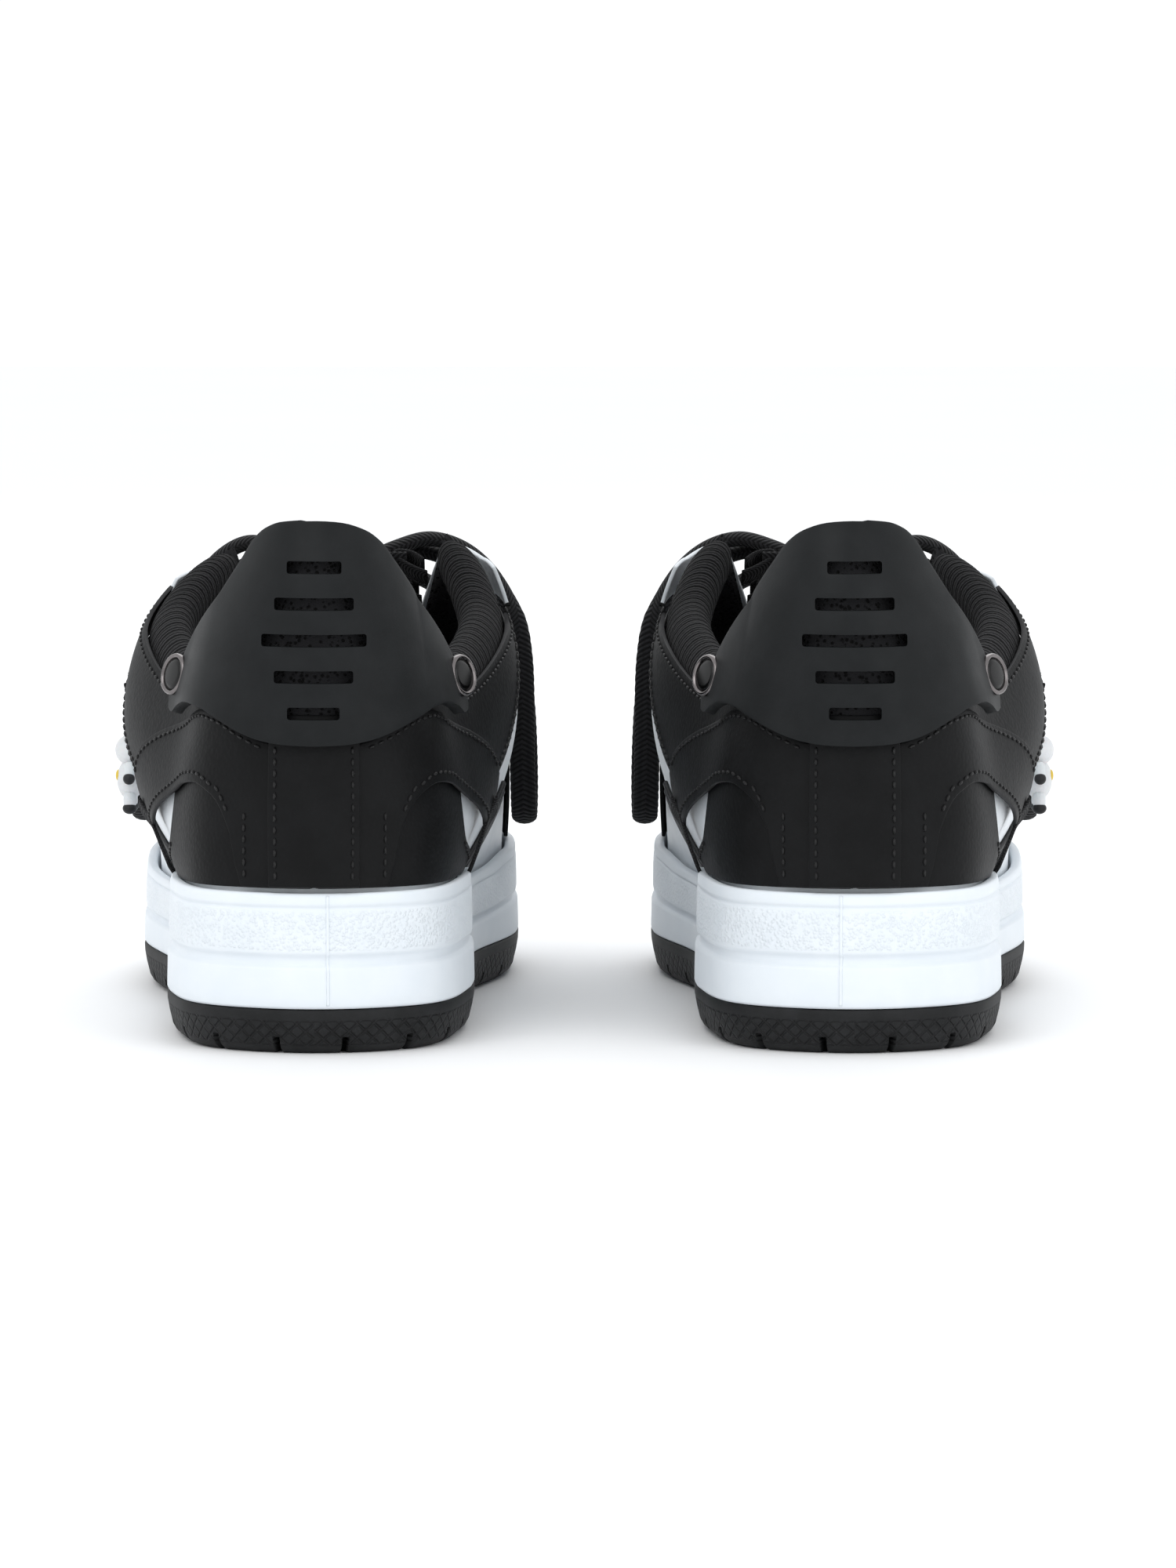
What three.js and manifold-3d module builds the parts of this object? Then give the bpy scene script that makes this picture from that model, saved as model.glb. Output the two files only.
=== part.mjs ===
// A pair of chunky low-cut trainers: cup soles, layered leather uppers, a slotted rubber
// heel guard held by two rivets, fat flat laces with a bow, and a charm on a ring.
// One shoe is described with its heel towards -Y, its toe towards +Y and its outer
// (lateral) side towards -X; the other shoe is its mirror image.
import * as THREE from "three";
import { mergeVertices } from "three/addons/utils/BufferGeometryUtils.js";
import Module from "manifold-3d";

const wasm = await Module();
wasm.setup();

// ---- Driving dimensions, millimetres ----
const SHOE_LENGTH = 290;
const BALL_WIDTH = 108; // cup sole across the ball of the foot
const HEEL_WIDTH = 82; // cup sole across the heel
const PAIR_SPACING = 147; // between the two heels' centre lines

const OUTSOLE_THICKNESS = 12.2;
const TOE_SPRING = 7; // how far the toe's edge clears the floor
const HEEL_TOP = 44; // cup sole's top edge at the heel
const WAIST_TOP = 34;
const BALL_TOP = 38;
const TOE_TOP = 41;
const CUP_DEPTH = 5; // how deep the upper sits in the cup
const RIM_WIDTH = 3.2;

const HEEL_COLLAR_TOP = 124;
const COLLAR_DIP = 101;
const ANKLE_COLLAR_TOP = 118;
const LATERAL_PEAK = 132;
const MEDIAL_PEAK = 136;
const THROAT_SIDE_TOP = 98;
const THROAT_FRONT_TOP = 82;

const CLEARANCE = 0.3; // between pieces that touch
const LAYER_GAP = SHOE_LENGTH * HEEL_WIDTH * 2.313e-5; // for the facets of layers that bend together
const INSOLE_GAP = HEEL_WIDTH * 0.0073; // for the facets of the insole in its lining
const SKIN = 1.2; // each leather or textile layer
const BACKSTAY_THICKNESS = 1.0;
const BACKSTAY_WIDTH = 22.5;
const GUARD_THICKNESS = 3;
const GUARD_TOP = 141;
const SLOT_PITCH = 9.8;
const SLOT_HEIGHT = 3.4;
const SLOT_WIDTHS = [14.3, 21.6, 28.7, 21.7, 15]; // lowest first
const LOWEST_SLOT_Z = 93;
const RIVET_RADIUS = 5.85;
const RIVET_GIRTH = 54; // from the heel's centre line, round the heel
const RIVET_Z = 98;
const SHANK_RADIUS = 2;
const ROLL_HEIGHT = 16;
const ROLL_WIDTH = 12;
const ROLL_STOP = 8; // from the padded roll's front ends to the lateral peak
const BOARD_THICKNESS = 1.7;
const INSOLE_THICKNESS = 4;
const TONGUE_THICKNESS = 7;
const LACE_WIDTH = 9;
const LACE_THICKNESS = 3;
const LACE_BARS = 6;
const CORD_WIDTH = 7.5; // the fat oval lace where it hangs free
const CORD_THICKNESS = 4.5;
const CHARM_GIRTH = 175;
const CHARM_Z = 90; // the ring's top wire
const CHARM_STANDOFF = 6; // from the upper to the ring
const RING_RADIUS = 6;
const RING_WIRE = 0.8;
const TAB_WIDTH = 6;
const TAB_THICKNESS = 1.2;
const TAB_LENGTH = 12;
const EYELET_RADIUS = 2.8;
const EYELET_WIRE = 0.6;
const HEAD_RADIUS = 4.6;

// Facets round the shoe in each of the twelve stretches between stations, from the heel.
const FACETS = [3, 3, 3, 3, 5, 5, 5, 5, 3, 3, 3, 3];

// ---- Layers of the upper, as distances out from its base surface ----
const SHELL = [-SKIN, 0];
const nextLayer = (below, thickness) => [below[1] + LAYER_GAP, below[1] + LAYER_GAP + thickness];
const FIRST_LAYER = nextLayer(SHELL, SKIN);
const SECOND_LAYER = nextLayer(FIRST_LAYER, SKIN);
const THIRD_LAYER = nextLayer(SECOND_LAYER, BACKSTAY_THICKNESS);
const GUARD_LAYER = nextLayer(THIRD_LAYER, GUARD_THICKNESS);
const STIFFENER = [SHELL[0] - LAYER_GAP - CLEARANCE - SKIN, SHELL[0] - LAYER_GAP - CLEARANCE];
const LINING = [STIFFENER[0] - LAYER_GAP - SKIN, STIFFENER[0] - LAYER_GAP];

// ---- Small helpers ----
const lerp = THREE.MathUtils.lerp;
const smoothstep = THREE.MathUtils.smoothstep;
const wrap = (t) => ((t % 1) + 1) % 1;
const spaced = (from, to, steps) =>
  Array.from({ length: steps + 1 }, (_, i) => lerp(from, to, i / steps));

// A function through a few [place, value] pairs, straight between them.
function through(pairs) {
  return (place) => {
    let i = 1;
    while (i < pairs.length - 1 && place > pairs[i][0]) i++;
    const [a, b] = [pairs[i - 1], pairs[i]];
    const share = THREE.MathUtils.clamp((place - a[0]) / (b[0] - a[0]), 0, 1);
    return lerp(a[1], b[1], share);
  };
}

// A three.js geometry with every vertex moved to its place, closed and facing outwards.
function bend(geometry, place) {
  geometry.deleteAttribute("normal");
  geometry.deleteAttribute("uv");
  const points = geometry.getAttribute("position");
  const vertex = new THREE.Vector3();
  for (let i = 0; i < points.count; i++) {
    const moved = place(vertex.fromBufferAttribute(points, i).clone());
    points.setXYZ(i, moved.x, moved.y, moved.z);
  }
  const merged = mergeVertices(geometry, 1e-3);
  return facingOut(merged);
}

function facingOut(geometry) {
  const points = geometry.getAttribute("position");
  const corners = Array.from(geometry.index.array);
  const faces = [];
  let volume = 0;
  const [a, b, c] = [new THREE.Vector3(), new THREE.Vector3(), new THREE.Vector3()];
  for (let i = 0; i < corners.length; i += 3) {
    const [p, q, r] = corners.slice(i, i + 3);
    if (p === q || q === r || p === r) continue;
    faces.push([p, q, r]);
    a.fromBufferAttribute(points, p);
    b.fromBufferAttribute(points, q);
    c.fromBufferAttribute(points, r);
    volume += a.dot(b.cross(c));
  }
  const turned = volume < 0 ? faces.map(([p, q, r]) => [p, r, q]) : faces;
  geometry.setIndex(turned.flat());
  return geometry;
}

function solid(geometry) {
  const bare = geometry.clone();
  bare.deleteAttribute("normal");
  bare.deleteAttribute("uv");
  const merged = mergeVertices(bare, 1e-3);
  return new wasm.Manifold(
    new wasm.Mesh({
      numProp: 3,
      vertProperties: merged.attributes.position.array,
      triVerts: new Uint32Array(merged.index.array),
    }),
  );
}

function surface(made) {
  const mesh = made.getMesh();
  const geometry = new THREE.BufferGeometry();
  geometry.setAttribute("position", new THREE.BufferAttribute(mesh.vertProperties, 3));
  geometry.setIndex(new THREE.BufferAttribute(mesh.triVerts, 1));
  return geometry;
}

const cut = (body, ...tools) =>
  surface(tools.reduce((left, tool) => left.subtract(solid(tool)), solid(body)));
const join = (first, ...rest) =>
  surface(rest.reduce((sum, piece) => sum.add(solid(piece)), solid(first)));

// ---- The sole's plan: twelve stations from the heel's back, up the lateral side to the
// toe and back down the medial side, as shares of the half widths and half length ----
const heelX = HEEL_WIDTH / 2;
const ballX = BALL_WIDTH / 2;
const halfLength = SHOE_LENGTH / 2;
const closed = (points) => new THREE.CatmullRomCurve3(points, true, "centripetal");
const at = (halfWidth, across, along) => new THREE.Vector3(halfWidth * across, halfLength * along, 0);

const soleOutline = closed([
  at(heelX, 0, -0.99),
  at(heelX, -0.735, -0.9),
  at(heelX, -1, -0.69),
  at(ballX, -0.79, -0.22),
  at(ballX, -1.035, 0.25),
  at(ballX, -0.83, 0.75),
  at(ballX, 0.05, 0.996),
  at(ballX, 0.82, 0.78),
  at(ballX, 0.975, 0.4),
  at(ballX, 0.74, -0.055),
  at(heelX, 1, -0.635),
  at(heelX, 0.735, -0.9),
]);

function solePlan(t, out, scale = 1) {
  const place = soleOutline.getPoint(wrap(t));
  const along = soleOutline.getTangent(wrap(t));
  return new THREE.Vector3(place.x - along.y * out, place.y + along.x * out, 0).multiplyScalar(scale);
}

const soleTop = (y) =>
  through([
    [-1, HEEL_TOP],
    [-0.45, HEEL_TOP - 0.5],
    [-0.22, WAIST_TOP + 2],
    [-0.05, WAIST_TOP],
    [0.15, WAIST_TOP + 1],
    [0.32, BALL_TOP],
    [0.7, BALL_TOP + 1],
    [1, TOE_TOP],
  ])(y / halfLength);
const ground = (y) => TOE_SPRING * Math.max(0, (y / halfLength - 0.6) / 0.4) ** 1.6;
const soleJoint = (y) => ground(y) * 0.8 + OUTSOLE_THICKNESS;
const seat = (y) => soleTop(y) - CUP_DEPTH;

const STATIONS = FACETS.flatMap((count, i) => spaced(i / 12, (i + 1) / 12, count).slice(0, -1));
const stationAt = (angle) =>
  STATIONS[Math.round((angle / (2 * Math.PI) + 1) * STATIONS.length) % STATIONS.length];

// A closed body through a stack of rings round the shoe. Each ring has a distance out
// from the sole's outline, a scale towards the middle, and a height over each place.
// Bodies that lie on each other list their rings in opposite orders, so that the faces
// between them are divided alike.
function loft(rings) {
  const ringPoint = (ring, t) => {
    const place = solePlan(t, ring.out, ring.scale ?? 1);
    place.z = ring.z(place.y);
    return place;
  };
  const middle = (ring) => new THREE.Vector3(0, 0, ring.z(0));
  const tube = new THREE.CylinderGeometry(1, 1, 1, STATIONS.length, rings.length - 1);
  return bend(tube, (v) => {
    const ring = rings[Math.round((0.5 - v.y) * (rings.length - 1))];
    if (Math.hypot(v.x, v.z) < 0.5) return middle(ring);
    return ringPoint(ring, stationAt(Math.atan2(v.x, v.z)));
  });
}

// ---- The upper's base surface: four rows of the same stations, from the sole's rim
// (h = 0) to the topline (h = 1), with the height rising evenly between them. Below the
// rim it goes straight down into the cup. ----
const UPPER_INSET = RIM_WIDTH + 1;
const lowRow = closed([
  at(heelX, 0, -0.942),
  at(heelX, -0.67, -0.858),
  at(heelX, -0.965, -0.66),
  at(ballX, -0.975, -0.25),
  at(ballX, -0.965, 0.21),
  at(ballX, -0.755, 0.685),
  at(ballX, 0.05, 0.952),
  at(ballX, 0.755, 0.712),
  at(ballX, 0.925, 0.32),
  at(ballX, 0.92, -0.08),
  at(heelX, 0.965, -0.62),
  at(heelX, 0.67, -0.858),
]);
const highRow = closed([
  at(heelX, 0, -0.928),
  at(heelX, -0.61, -0.835),
  at(heelX, -0.9, -0.63),
  at(ballX, -1.037, -0.225),
  at(ballX, -0.87, 0.155),
  at(ballX, -0.575, 0.55),
  at(ballX, 0.05, 0.868),
  at(ballX, 0.585, 0.57),
  at(ballX, 0.88, 0.21),
  at(ballX, 1.0, -0.1),
  at(heelX, 0.9, -0.6),
  at(heelX, 0.61, -0.835),
]);
const toplineRow = closed([
  at(heelX, 0, -0.89),
  at(heelX, -0.51, -0.786),
  at(heelX, -0.8, -0.585),
  at(ballX, -0.85, -0.18),
  at(ballX, -0.575, 0.083),
  at(ballX, -0.38, 0.36),
  at(ballX, 0.037, 0.565),
  at(ballX, 0.4, 0.36),
  at(ballX, 0.65, 0.076),
  at(ballX, 0.85, -0.125),
  at(heelX, 0.8, -0.572),
  at(heelX, 0.51, -0.786),
]);
const toplineHeights = closed(
  [
    HEEL_COLLAR_TOP,
    lerp(COLLAR_DIP, HEEL_COLLAR_TOP, 0.57),
    COLLAR_DIP,
    ANKLE_COLLAR_TOP,
    LATERAL_PEAK,
    THROAT_SIDE_TOP,
    THROAT_FRONT_TOP,
    THROAT_SIDE_TOP,
    MEDIAL_PEAK,
    ANKLE_COLLAR_TOP,
    COLLAR_DIP,
    lerp(COLLAR_DIP, HEEL_COLLAR_TOP, 0.57),
  ].map((height, i) => new THREE.Vector3(i * 20, 0, height)),
);

const toplineZ = (t) => toplineHeights.getPoint(wrap(t)).z;
const footRow = (t) => solePlan(t, -UPPER_INSET);
const rimZ = (t) => soleTop(footRow(t).y);
const heightAt = (t, h) => lerp(rimZ(t), toplineZ(t), h);
const shareAt = (t, z) => (z - rimZ(t)) / (toplineZ(t) - rimZ(t));

function basePoint(t, h) {
  const rows = [footRow(t), ...[lowRow, highRow, toplineRow].map((row) => row.getPoint(wrap(t)))];
  const s = 3 * Math.max(0, h);
  const weights = [
    -((s - 1) * (s - 2) * (s - 3)) / 6,
    (s * (s - 2) * (s - 3)) / 2,
    -(s * (s - 1) * (s - 3)) / 2,
    (s * (s - 1) * (s - 2)) / 6,
  ];
  const place = new THREE.Vector3();
  rows.forEach((row, i) => place.addScaledVector(row, weights[i]));
  place.z = heightAt(t, h);
  return place;
}

function baseNormal(t, h) {
  const step = 0.004;
  const round = basePoint(t + step, h).sub(basePoint(t - step, h));
  const up = basePoint(t, h + step).sub(basePoint(t, h - step));
  return up.cross(round).normalize();
}

const onBase = (t, h, out) => basePoint(t, h).addScaledVector(baseNormal(t, h), out);

// Girth: millimetres round the shoe from the heel's centre line, measured a third of the
// way up; negative on the lateral side.
const girthTable = spaced(0, 1, 400).map((t) => basePoint(t, 1 / 3));
const girthSums = girthTable.reduce((sums, place, i) => {
  const step = i ? Math.hypot(place.x - girthTable[i - 1].x, place.y - girthTable[i - 1].y) : 0;
  return [...sums, (sums.at(-1) ?? 0) + step];
}, []);
const FULL_GIRTH = girthSums.at(-1);
function stationOf(girth) {
  const forward = wrap(-girth / FULL_GIRTH) * FULL_GIRTH;
  const i = Math.max(1, girthSums.findIndex((sum) => sum >= forward));
  return (i - 1 + (forward - girthSums[i - 1]) / (girthSums[i] - girthSums[i - 1])) / 400;
}
function girthOf(t) {
  const index = wrap(t) * 400;
  const i = Math.min(399, Math.floor(index));
  const forward = lerp(girthSums[i], girthSums[i + 1], index - i);
  return forward > FULL_GIRTH / 2 ? FULL_GIRTH - forward : -forward;
}
const ROLL_REACH = Math.abs(girthOf(4 / 12)) - ROLL_STOP;
const LATERAL = -1;
const MEDIAL = 1;

// A panel of leather or stiffener laid on the upper, from station to station, between two
// edges given as shares of the way up.
function panel(stations, low, high, [inner, outer], rows) {
  const columns = stations.length - 1;
  const sheet = new THREE.BoxGeometry(1, 1, 1, columns, rows, 1);
  return bend(sheet, (v) => {
    const t = stations[Math.round((v.x + 0.5) * columns)];
    return onBase(t, lerp(low(t), high(t), v.y + 0.5), v.z > 0 ? outer : inner);
  });
}
const atGirths = (side, girths) => girths.map((girth) => stationOf(side * girth));
const between = (from, to) => [from, ...STATIONS.filter((t) => t > from + 0.004 && t < to - 0.004), to];
const overRim = (t) => shareAt(t, rimZ(t) + 3 * CLEARANCE);
const atHeight = (heights) => (t) => shareAt(t, heights(Math.abs(girthOf(t))));
const level = (share) => () => share;

// A wall right round the shoe: straight down into the cup from the rim, and up from the
// rim in equal rows.
function ringWall(low, high, [inner, outer], rows) {
  const heights = spaced(-1, rows, rows + 1);
  const profile = [
    ...heights.map((v) => new THREE.Vector2(3, v)),
    ...heights.toReversed().map((v) => new THREE.Vector2(2, v)),
    new THREE.Vector2(3, -1),
  ];
  return bend(new THREE.LatheGeometry(profile, STATIONS.length), (v) => {
    const t = stationAt(Math.atan2(v.x, v.z));
    const row = Math.round(v.y);
    const h = row < 0 ? low(t) : (high(t) * row) / rows;
    return onBase(t, h, Math.hypot(v.x, v.z) > 2.5 ? outer : inner);
  });
}

// A bar with an oblong section carried along a list of stops; each stop has a place, the
// direction of the section's width, and a size.
function bar(stops, sides, width, thickness) {
  const corner = Math.PI / sides;
  const reach = 0.5 / Math.cos(corner);
  const tube = new THREE.CylinderGeometry(reach, reach, 1, sides, stops.length - 1, false, corner);
  return bend(tube, (v) => {
    const i = Math.round((0.5 - v.y) * (stops.length - 1));
    const stop = stops[i];
    const before = stops[Math.max(0, i - 1)].place;
    const after = stops[Math.min(stops.length - 1, i + 1)].place;
    const along = after.clone().sub(before).normalize();
    const across = stop.across.clone().addScaledVector(along, -stop.across.dot(along)).normalize();
    const through_ = along.clone().cross(across);
    return stop.place
      .clone()
      .addScaledVector(across, v.x * width * (stop.size ?? 1))
      .addScaledVector(through_, v.z * thickness * (stop.size ?? 1));
  });
}

// ---- Cup sole ----
function makeOutsole() {
  const sole = loft([
    { out: 0, scale: 0.6, z: ground },
    { out: -4, z: ground },
    { out: -0.9, z: (y) => ground(y) + 2.6 },
    { out: 0.8, z: (y) => soleJoint(y) - 3 },
    { out: 0.8, z: soleJoint },
    { out: 0, scale: 0.6, z: soleJoint },
  ]);
  const notches = [-0.8, -0.46, 0.06, 0.54, 0.86].map((share) => {
    const notch = new THREE.BoxGeometry(2.2, 16, 5);
    notch.rotateZ(share * 1.1);
    return notch.translate(share * heelX, -halfLength * (1 - 0.2 * share * share), 0.9);
  });
  return cut(sole, ...notches);
}

function makeMidsole() {
  const bottom = (y) => soleJoint(y) + CLEARANCE;
  const groove = (share) => (y) => lerp(bottom(y), soleTop(y), share);
  const floor = (y) => seat(y) - BOARD_THICKNESS - 2 * CLEARANCE;
  return loft([
    { out: 0, scale: 0.6, z: floor },
    { out: -RIM_WIDTH - 0.4, z: floor },
    { out: -RIM_WIDTH, z: soleTop },
    { out: -0.7, z: soleTop },
    { out: 0, z: groove(0.87) },
    { out: 0.2, z: groove(0.49) },
    { out: -0.9, z: groove(0.44) },
    { out: -0.9, z: groove(0.4) },
    { out: 0.6, z: groove(0.36) },
    { out: 0.8, z: bottom },
    { out: 0, scale: 0.6, z: bottom },
  ]);
}

function makeBoard() {
  const top = (y) => seat(y) - CLEARANCE;
  const bottom = (y) => top(y) - BOARD_THICKNESS;
  const out = -RIM_WIDTH - 1;
  return loft([
    { out: 0, scale: 0.6, z: bottom },
    { out, z: bottom },
    { out, z: top },
    { out: 0, scale: 0.6, z: top },
  ]);
}

function makeInsole() {
  const bottom = (y) => seat(y) + 3 * CLEARANCE;
  const top = (y) => bottom(y) + INSOLE_THICKNESS;
  const out = LINING[0] - UPPER_INSET - INSOLE_GAP;
  return loft([
    { out: 0, scale: 0.6, z: top },
    { out, z: top },
    { out, z: bottom },
    { out: 0, scale: 0.6, z: bottom },
  ]);
}

// ---- Upper ----
const rollEnd = (t) => {
  const girth = Math.abs(girthOf(t));
  return 1 - smoothstep(girth, ROLL_REACH + 2, ROLL_REACH + 14);
};
const underRoll = (t) => shareAt(t, toplineZ(t) - rollEnd(t) * (ROLL_HEIGHT + 2 * CLEARANCE));

const seatShare = (t) => shareAt(t, rimZ(t) - CUP_DEPTH);
const makeShell = () => ringWall(seatShare, underRoll, SHELL, 6);

// The roll thins towards its two front ends, beside the tongue.
const rollWidth = through([
  [0, ROLL_WIDTH],
  [0.66, ROLL_WIDTH],
  [0.82, ROLL_WIDTH * 0.8],
  [1, ROLL_WIDTH * 0.5],
]);
function makeCollarRoll() {
  const steps = 32;
  const tube = new THREE.CylinderGeometry(1, 1, 1, 8, steps);
  return bend(tube, (v) => {
    const along = -2 * v.y;
    const t = stationOf(along * ROLL_REACH);
    const fullness = Math.sqrt(Math.max(0.04, 1 - Math.abs(along) ** 10));
    const out = -CLEARANCE - (rollWidth(Math.abs(along)) / 2) * (1 - v.x * fullness);
    const z = toplineZ(t) - (ROLL_HEIGHT / 2) * (1 - v.z * fullness);
    return onBase(t, shareAt(t, z), out);
  });
}

const insideHeel = (reach, steps) => spaced(-reach, reach, steps).map((girth) => stationOf(girth));
const makeCounter = () =>
  panel(insideHeel(78, 20), level(0.03), atHeight(() => COLLAR_DIP - ROLL_HEIGHT - 4), STIFFENER, 3);
const makeLining = () => panel(insideHeel(150, 30), level(-0.02), underRoll, LINING, 4);

const quarterTop = (t) => shareAt(t, toplineZ(t) - 9);
const quarterFoot = through([
  [3, 78],
  [20, 80],
  [36, 85],
  [60, 80],
  [72, 76.5],
  [85, 72],
  [98, 66],
  [112, 71],
  [126, 81],
  [138, 92],
  [150, 104],
  [158, 114],
]);
const quarterGirths = [3, 11, 20, 28, 36, 44, 52, 60, 72, 85, 98, 112, 126, 138, 150, 158];
const makeQuarter = (side) =>
  panel(atGirths(side, quarterGirths), atHeight(quarterFoot), quarterTop, FIRST_LAYER, 4);

const overlayTop = through([
  [0, 83.5],
  [12, 84.2],
  [20, 86.8],
  [30, 90.6],
  [37, 91.5],
  [46, 90],
  [54, 87.5],
  [64, 85.2],
  [74, 83],
  [86, 79.5],
  [95, 75.5],
  [101, 70],
]);
const archEdge = through([
  [20, 44],
  [23, 60],
  [29, 69],
  [37, 72],
  [46, 71],
  [54, 68.5],
  [64, 65.5],
  [74, 62.5],
  [86, 58.5],
  [95, 56],
  [101, 60],
]);
const overlayGirths = [0.3, 6, 12, 20, 23, 29, 37, 46, 54, 64, 74, 86, 95, 101];
function overlayFoot(t) {
  const girth = Math.abs(girthOf(t));
  return girth <= 20.1 ? overRim(t) : shareAt(t, archEdge(girth));
}
const makeHeelOverlay = (side) =>
  panel(atGirths(side, overlayGirths), overlayFoot, atHeight(overlayTop), SECOND_LAYER, 3);

const sidePanelTop = through([
  [0, 74],
  [37, 77],
  [54, 75],
  [59, 72],
  [61.5, 60],
  [66, 54.5],
  [74, 51.5],
  [82, 49.5],
]);
const sidePanelGirths = [1, 7, 14, 22, 30, 38, 46, 54, 59, 61.5, 66, 74, 82];
const makeSidePanel = (side) =>
  panel(atGirths(side, sidePanelGirths), overRim, atHeight(sidePanelTop), FIRST_LAYER, 3);

const backstayStations = spaced(-BACKSTAY_WIDTH / 2, BACKSTAY_WIDTH / 2, 4).map((girth) =>
  stationOf(girth),
);
const makeBackstay = () => panel(backstayStations, overRim, atHeight(() => 92), THIRD_LAYER, 4);

// The eyestay, vamp and toe cap start and stop at these stations, on the lateral side
// and, past the toe, on the medial side.
const EYESTAY_ENDS = [3.72 / 12, 8.28 / 12];
const VAMP_ENDS = [4.5 / 12, 7.6 / 12];
const TOE_CAP_ENDS = [4.35 / 12, 7.75 / 12];
const eyestayFoot = (t) => 0.8 + 0.04 * Math.cos((t * 12 - 6) * (Math.PI / 2.4));
const makeEyestay = () => panel(between(...EYESTAY_ENDS), eyestayFoot, level(0.995), SECOND_LAYER, 3);
const makeVamp = () => panel(between(...VAMP_ENDS), level(0.4), level(0.97), FIRST_LAYER, 5);
const makeToeCap = () => panel(between(...TOE_CAP_ENDS), overRim, level(0.37), FIRST_LAYER, 3);

// ---- Heel guard and rivets ----
const guardTop = through([
  [0, GUARD_TOP],
  [6, GUARD_TOP - 0.3],
  [12, GUARD_TOP - 2],
  [17.5, GUARD_TOP - 5.5],
  [22, GUARD_TOP - 10.5],
  [27, GUARD_TOP - 16],
  [32, GUARD_TOP - 21.5],
  [38, GUARD_TOP - 26.8],
  [46, GUARD_TOP - 33],
  [53, GUARD_TOP - 38.5],
  [58, GUARD_TOP - 42],
  [60.5, GUARD_TOP - 46],
]);
const guardFoot = through([
  [0, 83.6],
  [6, 83.8],
  [12, 84.6],
  [17.5, 86.2],
  [22, 88],
  [27, 90],
  [32, 91.6],
  [38, 92.2],
  [46, 90.6],
  [53, 88.2],
  [58, 88.8],
  [60.5, 92],
]);
const guardHalf = [6, 12, 17.5, 22, 27, 32, 38, 46, 53, 58, 60.5];
const guardStations = [...guardHalf.map((girth) => -girth).reverse(), 0, ...guardHalf].map(stationOf);

// Where a rivet stands on the upper, and the way it points.
function rivetSeat(side) {
  const t = stationOf(side * RIVET_GIRTH);
  const h = shareAt(t, RIVET_Z);
  return { place: basePoint(t, h), out: baseNormal(t, h) };
}
function stoodOnHeel(geometry, side) {
  const { place, out } = rivetSeat(side);
  const turn = new THREE.Quaternion().setFromUnitVectors(new THREE.Vector3(0, 1, 0), out);
  return geometry.applyQuaternion(turn).translate(place.x, place.y, place.z);
}
function makeGuard() {
  const shape = panel(guardStations, atHeight(guardFoot), atHeight(guardTop), GUARD_LAYER, 3);
  const slots = SLOT_WIDTHS.map((width, i) =>
    new THREE.BoxGeometry(width, 40, SLOT_HEIGHT).translate(0, -halfLength, LOWEST_SLOT_Z + i * SLOT_PITCH),
  );
  const holes = [LATERAL, MEDIAL].map((side) =>
    stoodOnHeel(new THREE.CylinderGeometry(SHANK_RADIUS + CLEARANCE, SHANK_RADIUS + CLEARANCE, 60, 8), side),
  );
  return cut(shape, ...slots, ...holes);
}
function makeRivet(side) {
  const foot = FIRST_LAYER[1] + CLEARANCE;
  const under = GUARD_LAYER[1] + 1.5 * CLEARANCE;
  const profile = [
    [0, foot],
    [SHANK_RADIUS, foot],
    [SHANK_RADIUS, under],
    [RIVET_RADIUS, under],
    [RIVET_RADIUS, under + 1],
    [RIVET_RADIUS - 0.7, under + 1.9],
    [0, under + 2.1],
  ].map(([radius, height]) => new THREE.Vector2(radius, height));
  const cap = bend(new THREE.LatheGeometry(profile, 12), (v) => v);
  return stoodOnHeel(cap, side);
}

// ---- Tongue and lacing ----
const TONGUE_FOOT = new THREE.Vector3(1, halfLength * 0.5, 66);
const TONGUE_HEAD = new THREE.Vector3(1, halfLength * 0.02, 124);
const tongueAlong = TONGUE_HEAD.clone().sub(TONGUE_FOOT).normalize();
const tongueFace = new THREE.Vector3(1, 0, 0).cross(tongueAlong).multiplyScalar(-1);
function onTongue(share, across, out) {
  const width = through([[0, 17], [0.35, 22], [0.8, 23], [1, 19]])(share);
  const crown = 3 * Math.sin(Math.PI * Math.min(1, share)) - 4 * across * across;
  return TONGUE_FOOT.clone()
    .lerp(TONGUE_HEAD, share)
    .add(new THREE.Vector3(across * width, 0, 0))
    .addScaledVector(tongueFace, crown + out);
}
function makeTongue() {
  const pad = new THREE.BoxGeometry(1, 1, 1, 6, 8, 1);
  return bend(pad, (v) => {
    const edge = Math.abs(v.x) > 0.49 || Math.abs(v.y) > 0.49 ? 0.55 : 1;
    return onTongue(v.y + 0.5, 2 * v.x, (v.z > 0 ? 0.5 : -0.5) * TONGUE_THICKNESS * edge);
  });
}

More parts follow.
